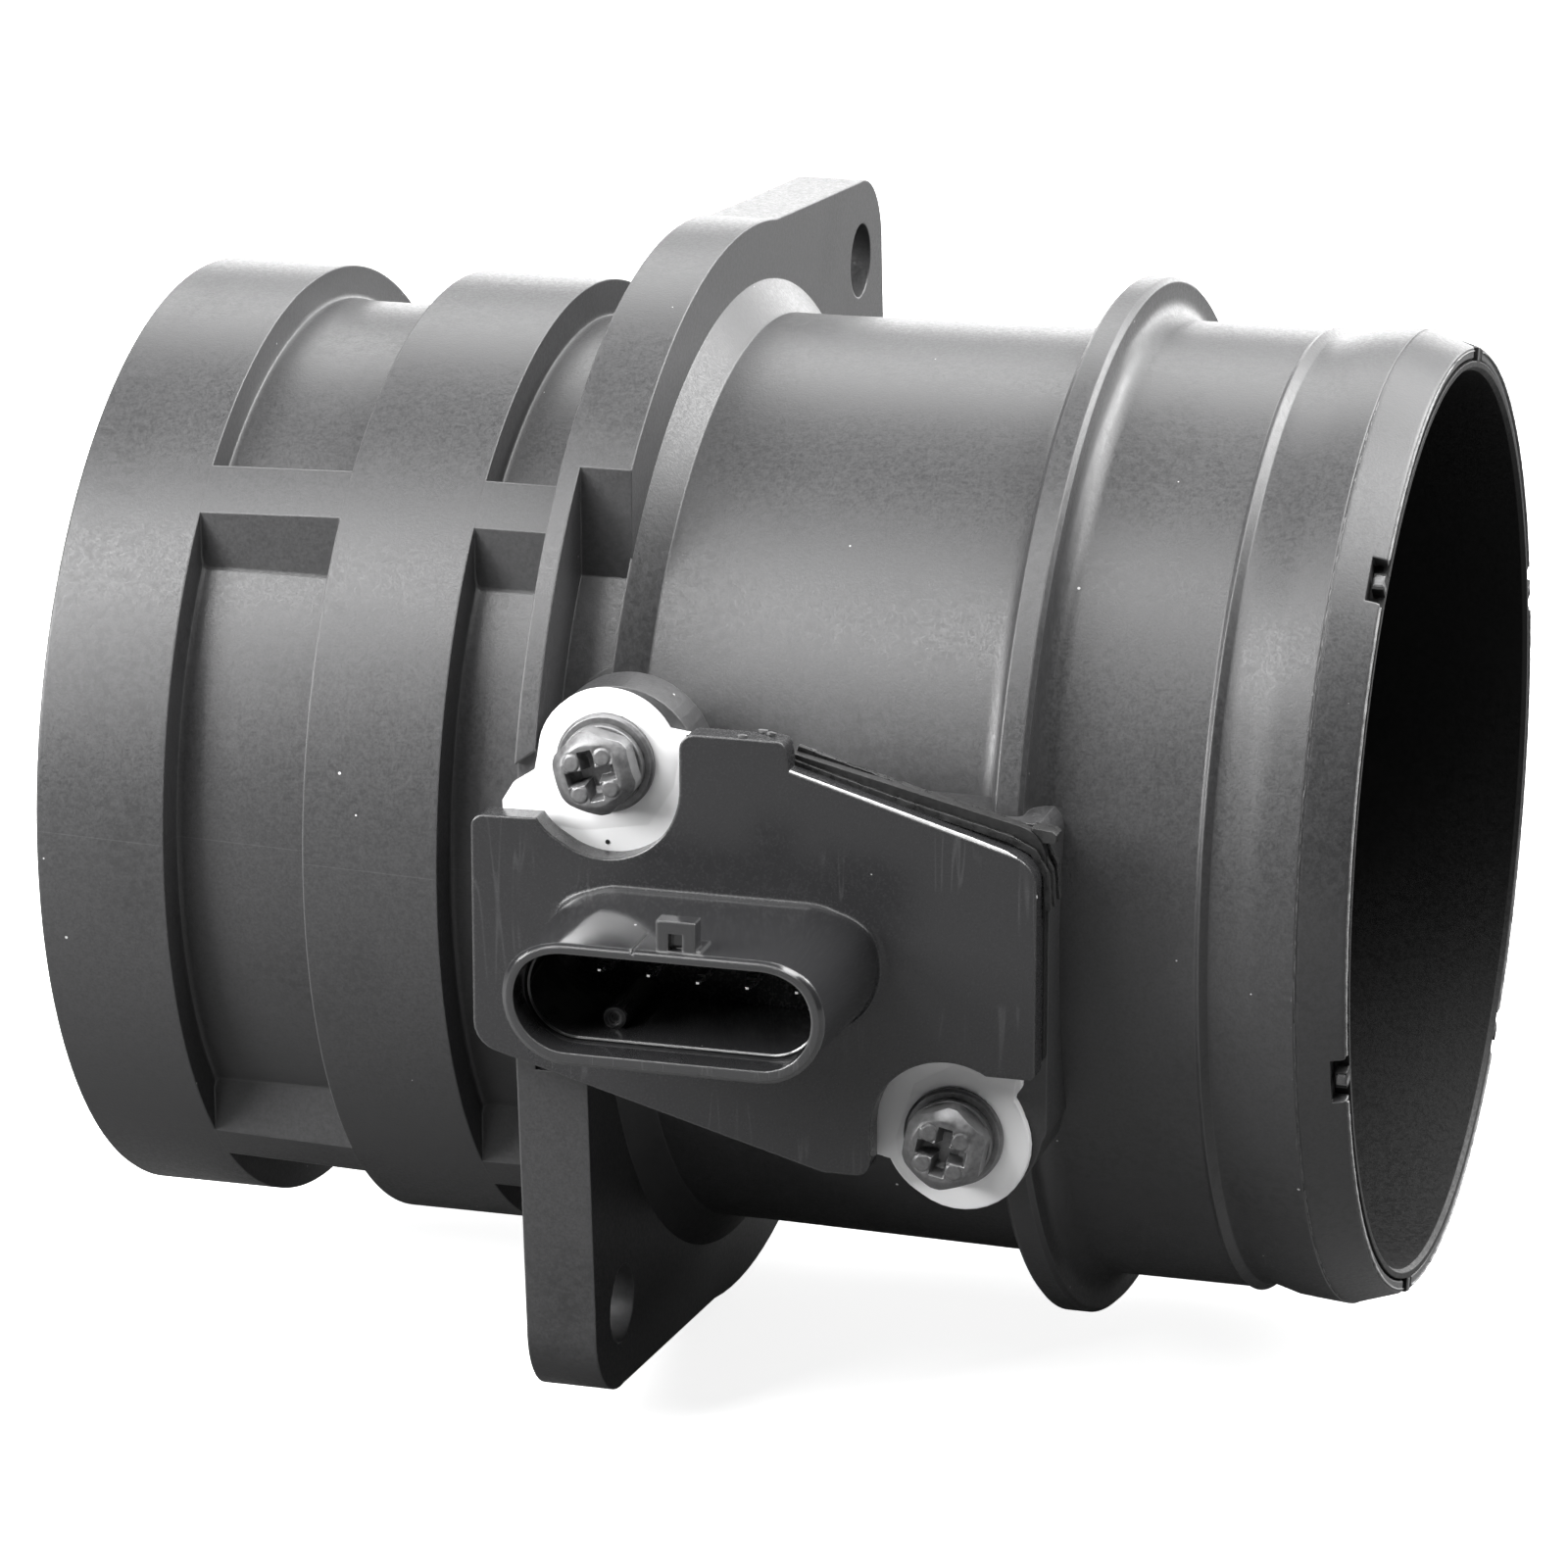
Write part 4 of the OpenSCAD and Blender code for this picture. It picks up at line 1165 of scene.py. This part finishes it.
@dataclass
class FlowEnd:
    """The insert in the hose end with its honeycomb, and the woven screen behind it."""

    shop: Shop
    pitch: float = 1.5
    wire: float = 0.13
    rim: float = 1.3
    turn: float = 30.0
    lug_turn: float = 15.0
    lug_step: float = 60.0
    lug_middle: float = 70.29
    lug_top: float = 0.7

    def build(self) -> None:
        """Makes the insert and the screen."""
        # The insert's near-black finish is partly painted shade for the inside of the bore.
        self.shop.carry("flow_grid", "honeycomb_insert", INSERT, self.turned_to_notches)
        self.lugs()
        low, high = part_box("wire_screen")
        pitch, outer = self.pitch * MM, (high[2] - low[2]) / 2
        reach = outer - self.rim * MM / 2
        middle = (low[0] + high[0]) / 2
        woven = grown(woven_screen_tree(), "woven_screen", {
            "Middle": (middle, 0.0, 0.0), "Reach": reach, "Pitch": pitch, "Wire": self.wire * MM,
            "Count": 2 * int((reach - 0.4 * pitch) / pitch) + 1, "Material": self.shop.paint(WIRE)})
        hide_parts("wire_screen")
        self.shop.settle(woven, "wire_screen")
        self.hoop((high[0] - low[0]) / MM, middle / MM, outer / MM)

    def turned_to_notches(self, mesh: Mesh) -> Mesh:
        """Turns the insert until its lugs stand in the rim's notches."""
        mesh.transform(Matrix.Rotation(math.radians(self.turn), 4, "X"))
        return mesh

    def lugs(self) -> None:
        """Makes the lighter tips of the lugs."""
        outline = [(69.8, -0.5), (69.8, 0.35), (70.05, 0.62), (70.72, 0.55), (70.78, -0.5)]
        mid, top = self.lug_middle, self.lug_top
        small = [(mid + (x - mid) * top, z * top) for x, z in outline]
        loops = [[(x, y, z) for x, z in line]
                 for line, y in ((outline, -40.8), (outline, -41.9), (small, -42.02))]
        tips = grown(turned_copies_tree(), "lug_tips", {
            "Part": skin("lug", loops), "Count": 6, "First Turn": math.radians(self.lug_turn),
            "Turn Step": math.radians(self.lug_step), "Material": self.shop.paint(BURR)})
        self.shop.settle(tips, "flow_grid")

    def hoop(self, thick: float, x: float, outer: float) -> None:
        """Makes the flat ring that holds the screen's edge.

        Args:
            thick: the ring's thickness along the duct, in millimetres.
            x: the place of its middle along the duct.
            outer: its outside radius.
        """
        ends, inner = (x + thick / 2, x - thick / 2), outer - self.rim
        section = [(ends[0], outer), (ends[0], inner), (ends[1], inner), (ends[1], outer)]
        loops = [[(at, r * math.cos(a), r * math.sin(a)) for at, r in section] for a in even(160)]
        self.shop.shell("screen_hoop", skin("screen_hoop", loops, ring=True), "wire_screen", WIRE)


@dataclass
class Module:
    """The sensor module's outside: plate, frame and cover with the connector's hood."""

    shop: Shop
    shoulder_drop: float = 0.65
    ear_reach: float = 8.0
    ear_fade: float = 1.5
    hood_foot: float = -51.02
    hood_side: Spot = (4.0, 33.6)
    hood_middle: Point = (18.7, -1.05, 8.3)
    hood_steps: int = 28
    old_key: tuple[Point, Point] = ((17.3, -66.4, 4.1), (22.3, -61.0, 7.5))
    key: tuple[Point, Point] = ((18.15, -66.05, 3.5), (21.5, -64.3, 6.5))
    slot: tuple[Point, Point] = ((19.2, -67.0, 3.97), (20.4, -65.2, 5.45))
    slit: tuple[Point, Point] = ((16.1, -66.7, 3.55), (16.26, -61.8, 5.0))
    tip_heights: tuple[float, ...] = (-0.4, -0.5, -0.75, -0.95, -0.9)
    ear_span: Spot = (-46.7, -47.62)
    edge_y: float = -50.82

    def build(self) -> None:
        """Makes the layers from the pad outwards."""
        self.shop.carry("metal_plate", "plate_sheet", SHEET, self.eared)
        self.shop.carry("seal_frame", "frame_layer", FRAME, self.lowered)
        self.shop.carry("connector_cover", "cover_and_hood", SATIN, self.keyed)
        self.pins()
        self.highlight_strips()
        self.ragged_edge()
        self.ears()
        self.socket_details()

    def lowered(self, mesh: Mesh) -> Mesh:
        """Lowers the left shoulder of a layer to where the photograph has it.

        Args:
            mesh: the layer's copy.

        Returns:
            The same mesh.
        """
        for v in mesh.vertices:
            x, z = v.co.x / MM, v.co.z / MM
            v.co.z -= self.shoulder_drop * MM * held((5.0 - x) / 2.5) * held((z - 4.0) / 3.0)
        return mesh

    def eared(self, mesh: Mesh) -> Mesh:
        """Moves the plate's two ears outwards with their screws.

        Args:
            mesh: the plate's copy.

        Returns:
            The same mesh.
        """
        mesh = self.lowered(mesh)
        for (x, z), (to_x, to_z) in ((PLAN_UP, SCREW_UP), (PLAN_LOW, SCREW_LOW)):
            for v in mesh.vertices:
                away = math.hypot(v.co.x / MM - x, v.co.z / MM - z)
                near = held((self.ear_reach - away) / self.ear_fade)
                v.co.x += (to_x - x) * near * MM
                v.co.z += (to_z - z) * near * MM
        return mesh

    def keyed(self, mesh: Mesh) -> Mesh:
        """Works the hood's lower top wall, its coding key and the slit beside it into the cover.

        Args:
            mesh: the cover's copy.

        Returns:
            The cover with these forms.
        """
        mesh = self.lowered(mesh)
        for v in mesh.vertices:
            x, y, z = v.co / MM
            if y < self.hood_foot and self.hood_side[0] < x < self.hood_side[1]:
                v.co.z -= (0.75 + 0.3 * held((y + 66.5) / 15.5)) * held((z - 1.5) / 3.15) ** 1.3 * MM
        mesh = worked(mesh, block("old_key", *self.old_key), Step.CUT)
        mesh = worked(mesh, block("key", *self.key), Step.ADD)
        slots = together("slots", [block("slot", *self.slot), block("slit", *self.slit)])
        return worked(mesh, slots, Step.CUT)

    def pins(self) -> None:
        """Makes the five terminals, tapered to a small bright tip."""
        for i, tip in enumerate(self.tip_heights, 1):
            low, high = (Vector(corner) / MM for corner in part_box(f"terminal_{i}"))
            mid, half = (low + high) / 2, (high - low) / 2
            loops = []
            for y, size in ((high.y, 1.0), (low.y + 1.6, 1.0), (low.y + 0.12, 0.36), (low.y, 0.26)):
                rise = 0.0 if size == 1.0 else min(max(tip - mid.z, -0.3), 0.3)
                loops.append([(mid.x + sx * half.x * size, y, mid.z + rise + sz * half.z * size)
                              for sx, sz in ((-1, -1), (1, -1), (1, 1), (-1, 1))])
            piece = link(skin(f"pin_{i}", loops), f"pin_{i}", self.shop.paint(TIN))
            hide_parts(f"terminal_{i}")
            self.shop.settle(piece, f"terminal_{i}")

    def highlight_strips(self) -> None:
        """Makes a light strip as a painted highlight along the cover's slanted edge and its corner, a burr
        strip with a painted highlight along its short upper edge, and a dark dot on the upper ear.
        """
        slant = ((25.1, 15.35), (30.0, 13.95), (36.0, 12.22), (41.0, 10.78), (43.8, 9.9), (45.2, 9.1),
                 (46.0, 7.9), (46.3, 6.2))
        top = ((16.2, 17.78), (20.0, 17.82), (24.0, 17.8))
        # Painted highlights: the slant strip stands in for light caught on the chamfer, and the top strip is
        # a burr whose lighter colour is also a painted highlight.
        for name, line, size, finish in (
                ("slant_line", slant, StripSize(0.3, 0.26, 0.02, 0.3, 900.0, 31.0), SLANT_HIGHLIGHT),
                ("top_line", top, StripSize(0.16, 0.16, 0.03, 0.3, 900.0, 33.0), BURR)):
            points = [(x, self.edge_y, z) for x, z in line]
            self.shop.strip(name, points, size, "connector_cover", finish)
        self.shop.plate("ear_dot", circle((8.2, 6.85), 0.2, 12), (-47.5, -47.66), "metal_plate", CHIP)

    def ragged_edge(self) -> None:
        """Makes the rough layers behind the slanted edge, the corner at their end and three small burrs."""
        slant = ((24.6, 15.6), (28.0, 14.6), (32.0, 13.45), (36.0, 12.4), (40.0, 11.4), (43.6, 10.5),
                 (45.6, 9.5), (46.7, 7.6), (46.9, 4.5))
        layers = ((-47.15, 0.62, StripSize(0.9, 0.55, 0.09, 0.22, 1100.0, 4.0)),
                  (-48.1, 0.30, StripSize(0.8, 0.5, 0.08, 0.22, 1300.0, 9.0)),
                  (-48.75, 0.05, StripSize(0.6, 0.4, 0.05, 0.22, 1500.0, 14.0)))
        for i, (depth, out, size) in enumerate(layers, 1):
            points = [(x + out * 0.3, depth, z + out) for x, z in slant]
            self.shop.strip(f"ragged_layer_{i}", points, size, "seal_frame", RAGGED)
        corner = [(45.2, 10.2), (47.35, 10.3), (47.45, 11.0), (47.1, 11.3), (45.3, 11.5)]
        self.shop.plate("layer_corner", corner, (-46.7, -48.4), "seal_frame", RAGGED)
        for i, (x, z, y) in enumerate(((20.9, 17.95, -50.4), (22.2, 18.0, -48.6), (23.1, 18.0, -49.2))):
            points = [(x - 0.35, y, z), (x, y - 0.1, z + 0.08), (x + 0.4, y, z)]
            size = StripSize(0.28, 0.28, 0.07, 0.12, 1500.0, 20.0 + i)
            self.shop.strip(f"edge_burr_{i + 1}", points, size, "connector_cover", BURR)

    def ears(self) -> None:
        """Makes the front of the plate's two ears round the screws."""
        upper = [(-1.1, 8.3), (-1.13, 9.74), (-0.15, 11.37), (1.76, 12.63),
                 *arc((7.95, 14.2), 5.85, 178.0, 36.0, 16), (13.43, 16.42), (14.95, 15.87), (14.2, 12.0),
                 (12.0, 8.5), (6.0, 7.5)]
        lower = [(33.4, -17.0), (33.65, -19.34), *arc((39.2, -17.0), 6.0, 226.0, 400.0, 18), (44.2, -9.4),
                 (39.5, -9.4), (35.0, -12.0)]
        for name, outline in (("upper_ear", upper), ("lower_ear", lower)):
            self.shop.plate(name, outline, self.ear_span, "metal_plate", SHEET)

    def oval(self, radius: float, depth: float) -> list[Point]:
        """One loop of the hood's inner wall at a depth."""
        x, z, half = self.hood_middle
        line = (arc((x + half, z), radius, -90.0, 90.0, self.hood_steps)
                + arc((x - half, z), radius, 90.0, 270.0, self.hood_steps))
        return [(px, depth, pz) for px, pz in line]

    def socket_details(self) -> None:
        """Makes the ledge and the post inside the hood."""
        ledge = [self.oval(*line) for line in
                 ((4.52, -51.05), (4.52, -62.9), (4.3, -63.1), (4.16, -63.0), (4.14, -51.05))]
        self.shop.shell("socket_ledge", skin("socket_ledge", ledge, ring=True), "connector_cover", SATIN)
        post = [[(x, y, z) for x, z in circle((12.7, -4.35), r, 40)]
                for r, y in ((1.1, -51.0), (1.1, -59.95), (0.95, -60.2), (0.55, -60.2), (0.45, -59.9))]
        self.shop.shell("socket_post", skin("socket_post", post), "connector_cover", SATIN)


@dataclass
class ProbeParts:
    """The probe with its lid, ring, element and bead, and the electronics."""

    shop: Shop
    pieces: tuple[tuple[str, str, Finish], ...] = (
        ("probe_housing", "probe_blade", PROBE), ("probe_lid", "channel_lid", PROBE),
        ("seal_ring", "collar_ring", RUBBER), ("circuit_board", "board", BOARD),
        ("board_chips", "chips", CHIP), ("sensing_element", "element_strip", CERAMIC),
        ("air_temperature_bead", "temperature_bead", GLASS))

    def build(self) -> None:
        """Makes the inner pieces."""
        for node, name, finish in self.pieces:
            self.shop.carry(node, name, finish)


@dataclass
class Fasteners:
    """The two screws with their split spring washers and flat washers."""

    shop: Shop
    up: Spot = SCREW_UP
    low: Spot = SCREW_LOW
    plate_y: float = -47.6
    washer_t: float = 0.8
    washer_r: float = 4.3
    hole_r: float = 2.2
    spring_t: float = 1.0
    spring_r: float = 3.6
    spring_rise: float = 0.14
    spring_gap: float = 9.0
    spring_steps: int = 88
    flats: float = 6.8
    corner: float = 0.3
    head_h: float = 2.9
    shoulder: float = 0.75
    shank_r: float = 1.95
    shank_len: float = 9.4
    recess: float = 1.75
    arm: float = 1.85
    arm_half: float = 0.42
    wall: Spot = (0.22, 0.35)
    dot: float = 1.4
    dot_h: float = 0.07
    dot_groove: float = 0.09
    around: int = 120
    rings: int = 40

    def outline(self, angle: float) -> float:
        """Radius of the head's outline at an angle, with softened corners."""
        turn = (angle + math.pi / 6) % (math.pi / 3) - math.pi / 6
        return min(self.flats / 2 / math.cos(turn), self.flats / 2 + self.corner)

    def top(self, x: float, y: float) -> float:
        """Gives the height of the head's top face, with its cross recess and four raised dots.

        Args:
            x: the place across the head, in millimetres.
            y: the place along it.

        Returns:
            The height above the washer, in millimetres.
        """
        r, u, v = math.hypot(x, y), abs(x), abs(y)
        crown = self.head_h - 0.02 * r * r
        edge_r = self.flats / 2 - self.shoulder
        if r > edge_r:
            crown -= self.shoulder * (r - edge_r) ** 1.25
        sides = [max((across - self.arm_half) / self.wall[0], (along - self.arm) / self.wall[1])
                 for along, across in ((u, v), (v, u))]
        depth = max(self.recess * held(1.0 - side) for side in sides)
        crown -= depth * (held((self.arm + self.wall[1] - r) / 0.9) * 0.45 + 0.55)
        away = math.hypot(u - self.dot, v - self.dot)
        if depth == 0.0:
            crown += self.dot_h * held((0.72 - away) / 0.1)
        return crown - self.dot_groove * max(0.0, 1.0 - abs(away - 0.8) / 0.12)

    def head_loop(self, share: float, height: float | None = None, shrink: float = 0.0) -> list[Point]:
        """Makes one loop of the head.

        Args:
            share: its size as a share of the outline.
            height: its height, or None for the top face's own.
            shrink: how much smaller than the outline it is.

        Returns:
            The loop's points.
        """
        points = []
        for a in even(self.around):
            r = share * (self.outline(a) - shrink)
            x, y = r * math.cos(a), r * math.sin(a)
            points.append((x, y, self.top(x, y) if height is None else height))
        return points

    def screw(self) -> Mesh:
        """Makes one screw, its head upwards from the origin.

        Returns:
            The closed screw.
        """
        loops = [self.head_loop(0.02), *(self.head_loop(k / self.rings) for k in range(1, self.rings + 1)),
                 self.head_loop(1.0, 0.25), self.head_loop(1.0, 0.02, 0.22)]
        end = -self.shank_len
        for r, z in ((self.shank_r, 0.0), (self.shank_r, end + 0.6), (self.shank_r - 0.5, end)):
            loops.append([(x, y, z) for x, y in circle((0.0, 0.0), r, self.around)])
        return skin("screw", loops)

    def washer(self) -> Mesh:
        """Makes one flat washer with broken edges.

        Returns:
            The closed washer.
        """
        r, hole, t, c = self.washer_r, self.hole_r, self.washer_t, 0.12
        section = [(hole, 0.02), (r - c, 0.0), (r, c), (r, t - 2 * c), (r - 2 * c, t), (hole + c, t),
                   (hole, t - c)]
        loops = [[(q * math.cos(a), q * math.sin(a), z) for q, z in section] for a in even(96)]
        return skin("washer", loops, ring=True)

    def spring(self) -> Mesh:
        """Makes one split spring washer, a little twisted out of its plane.

        Returns:
            The closed washer.
        """
        outer, inner, t, c = self.spring_r, self.hole_r, self.spring_t - self.spring_rise, 0.1
        section = [(inner, c), (inner + c, 0.0), (outer - c, 0.0), (outer, c), (outer, t - c), (outer - c, t),
                   (inner + c, t), (inner, t - c)]
        gap, loops = math.radians(self.spring_gap), []
        for i in range(self.spring_steps + 1):
            way = i / self.spring_steps
            base, rise = gap / 2 + way * (2 * math.pi - gap), self.spring_rise * way
            loops.append([(q * math.cos(base + 0.16 * z), q * math.sin(base + 0.16 * z), z + rise)
                          for q, z in section])
        return skin("spring", loops)

    def build(self) -> None:
        """Places the three kinds of part on the screws' line."""
        tree = screw_line_tree()
        spring_y = self.plate_y - self.washer_t
        jobs = ((self.washer(), "round_washers", "flat_washers", self.plate_y, 0.0, 40.0),
                (self.spring(), "split_washers", "spring_washers", spring_y, 30.0, 55.0),
                (self.screw(), "cross_screws", "sensor_screws", spring_y - self.spring_t, -16.0, 28.0))
        for mesh, name, node, depth, turn, step in jobs:
            first, second = ([x * MM, depth * MM, z * MM] for x, z in (self.up, self.low))
            piece = grown(tree, name, {
                "Part": mesh, "First": first, "Second": second, "First Turn": math.radians(turn),
                "Turn Step": math.radians(step), "Material": self.shop.paint(PLATED)})
            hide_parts(node)
            self.shop.settle(piece, node)


# Studio
@dataclass
class Studio:
    """Floor, lights, background and camera."""

    floor_z: float = -49.6
    floor_half: float = 3.0
    floor_tone: float = 0.8
    floor_glow: float = 0.85
    floor_bounce: float = 0.15
    ambient: float = 0.01
    camera_place: Point = (0.18163, -0.59198, 0.18515)
    camera_turn: Point = (73.13, 0.0, 16.176)
    lens: float = 162.6
    aim: Point = (0.01, 0.0, 0.0)
    lights: tuple[tuple[str, Point, float, float, float], ...] = (
        ("key", (-0.55, -0.72, 0.90), 0.45, 0.45, 10.6),
        ("over", (-0.1, -0.45, 1.1), 0.6, 0.4, 6.9),
        ("near_left", (-0.26, -0.24, 0.13), 0.15, 0.15, 1.8),
        ("near_high", (-0.22, -0.16, 0.28), 0.15, 0.15, 0.3),
        ("right_top", (0.5, 0.1, 1.0), 0.8, 0.8, 20.0),
        ("right_back", (0.7, 0.6, 0.6), 0.6, 0.6, 13.0),
        ("top_back", (0.0, 0.75, 0.75), 1.5, 0.5, 12.0),
        ("far_back", (0.0, 1.6, 0.1), 2.2, 0.5, 20.0))

    def build(self) -> None:
        """Makes the floor, the light and the camera."""
        self.floor()
        self.background()
        for light in self.lights:
            self.softbox(*light)
        self.camera()

    def floor(self) -> None:
        """Lays the pale floor."""
        h, z = self.floor_half, self.floor_z * MM
        mesh = bpy.data.meshes.new("floor")
        mesh.from_pydata([(-h, -h, z), (h, -h, z), (h, h, z), (-h, h, z)], [], [(0, 1, 2, 3)])
        paint = bpy.data.materials.new("pale_floor")
        paint.use_nodes = True
        paint.node_tree.nodes.clear()
        g = Graph(paint.node_tree)
        looks = []
        for tone, glow in ((self.floor_bounce, 0.0), (self.floor_tone, self.floor_glow)):
            looks.append(g.node("ShaderNodeBsdfPrincipled", {
                "Base Color": (tone, tone, tone, 1.0), "Roughness": 0.9, "Specular IOR Level": 0.1,
                "Emission Color": (1.0, 1.0, 1.0, 1.0), "Emission Strength": glow}))
        seen = g.node("ShaderNodeLightPath").outputs["Is Camera Ray"]
        both = g.node("ShaderNodeMixShader", {0: seen, 1: looks[0], 2: looks[1]})
        g.node("ShaderNodeOutputMaterial", {"Surface": both})
        link(mesh, "floor", paint)

    def background(self) -> None:
        """Sets the plain white surroundings."""
        world = bpy.data.worlds.new("studio")
        world.use_nodes = True
        world.node_tree.nodes.clear()
        g = Graph(world.node_tree)
        cast, seen = (g.node("ShaderNodeBackground", {"Color": (1.0, 1.0, 1.0, 1.0), "Strength": strength})
                      for strength in (self.ambient, 1.0))
        direct = g.node("ShaderNodeLightPath").outputs["Is Camera Ray"]
        both = g.node("ShaderNodeMixShader", {0: direct, 1: cast, 2: seen})
        g.node("ShaderNodeOutputWorld", {"Surface": both})
        bpy.context.scene.world = world
        bpy.context.scene.view_settings.view_transform = "Standard"

    def softbox(self, name: str, place: Point, wide: float, high: float, power: float) -> None:
        """Hangs one softbox.

        Args:
            name: the light's name.
            place: where it is, in metres.
            wide: its width.
            high: its height.
            power: its power in watts.
        """
        lamp = bpy.data.lights.new(name, "AREA")
        lamp.shape = "RECTANGLE"
        lamp.size, lamp.size_y, lamp.energy = wide, high, power
        made = new_object(name, lamp)
        made.location = place
        made.rotation_euler = (Vector(self.aim) - Vector(place)).to_track_quat("-Z", "Y").to_euler()

    def camera(self) -> None:
        """Sets the camera at the photograph's angle."""
        view = bpy.data.cameras.new("camera")
        view.sensor_width = 36.0
        view.lens = self.lens
        view.clip_start, view.clip_end = 0.01, 20.0
        made = new_object("camera", view)
        made.location = self.camera_place
        made.rotation_euler = [math.radians(a) for a in self.camera_turn]
        bpy.context.scene.camera = made


def main() -> None:
    """Builds the object's sub-assemblies and the studio."""
    logging.basicConfig(level=logging.INFO, format="%(message)s")
    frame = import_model()
    shop = Shop(frame)
    Studio().build()
    for part in (Duct(shop), FlowEnd(shop), Module(shop), ProbeParts(shop), Fasteners(shop)):
        part.build()
        LOG.info("built %s", type(part).__name__)


if __name__ == "__main__":
    main()
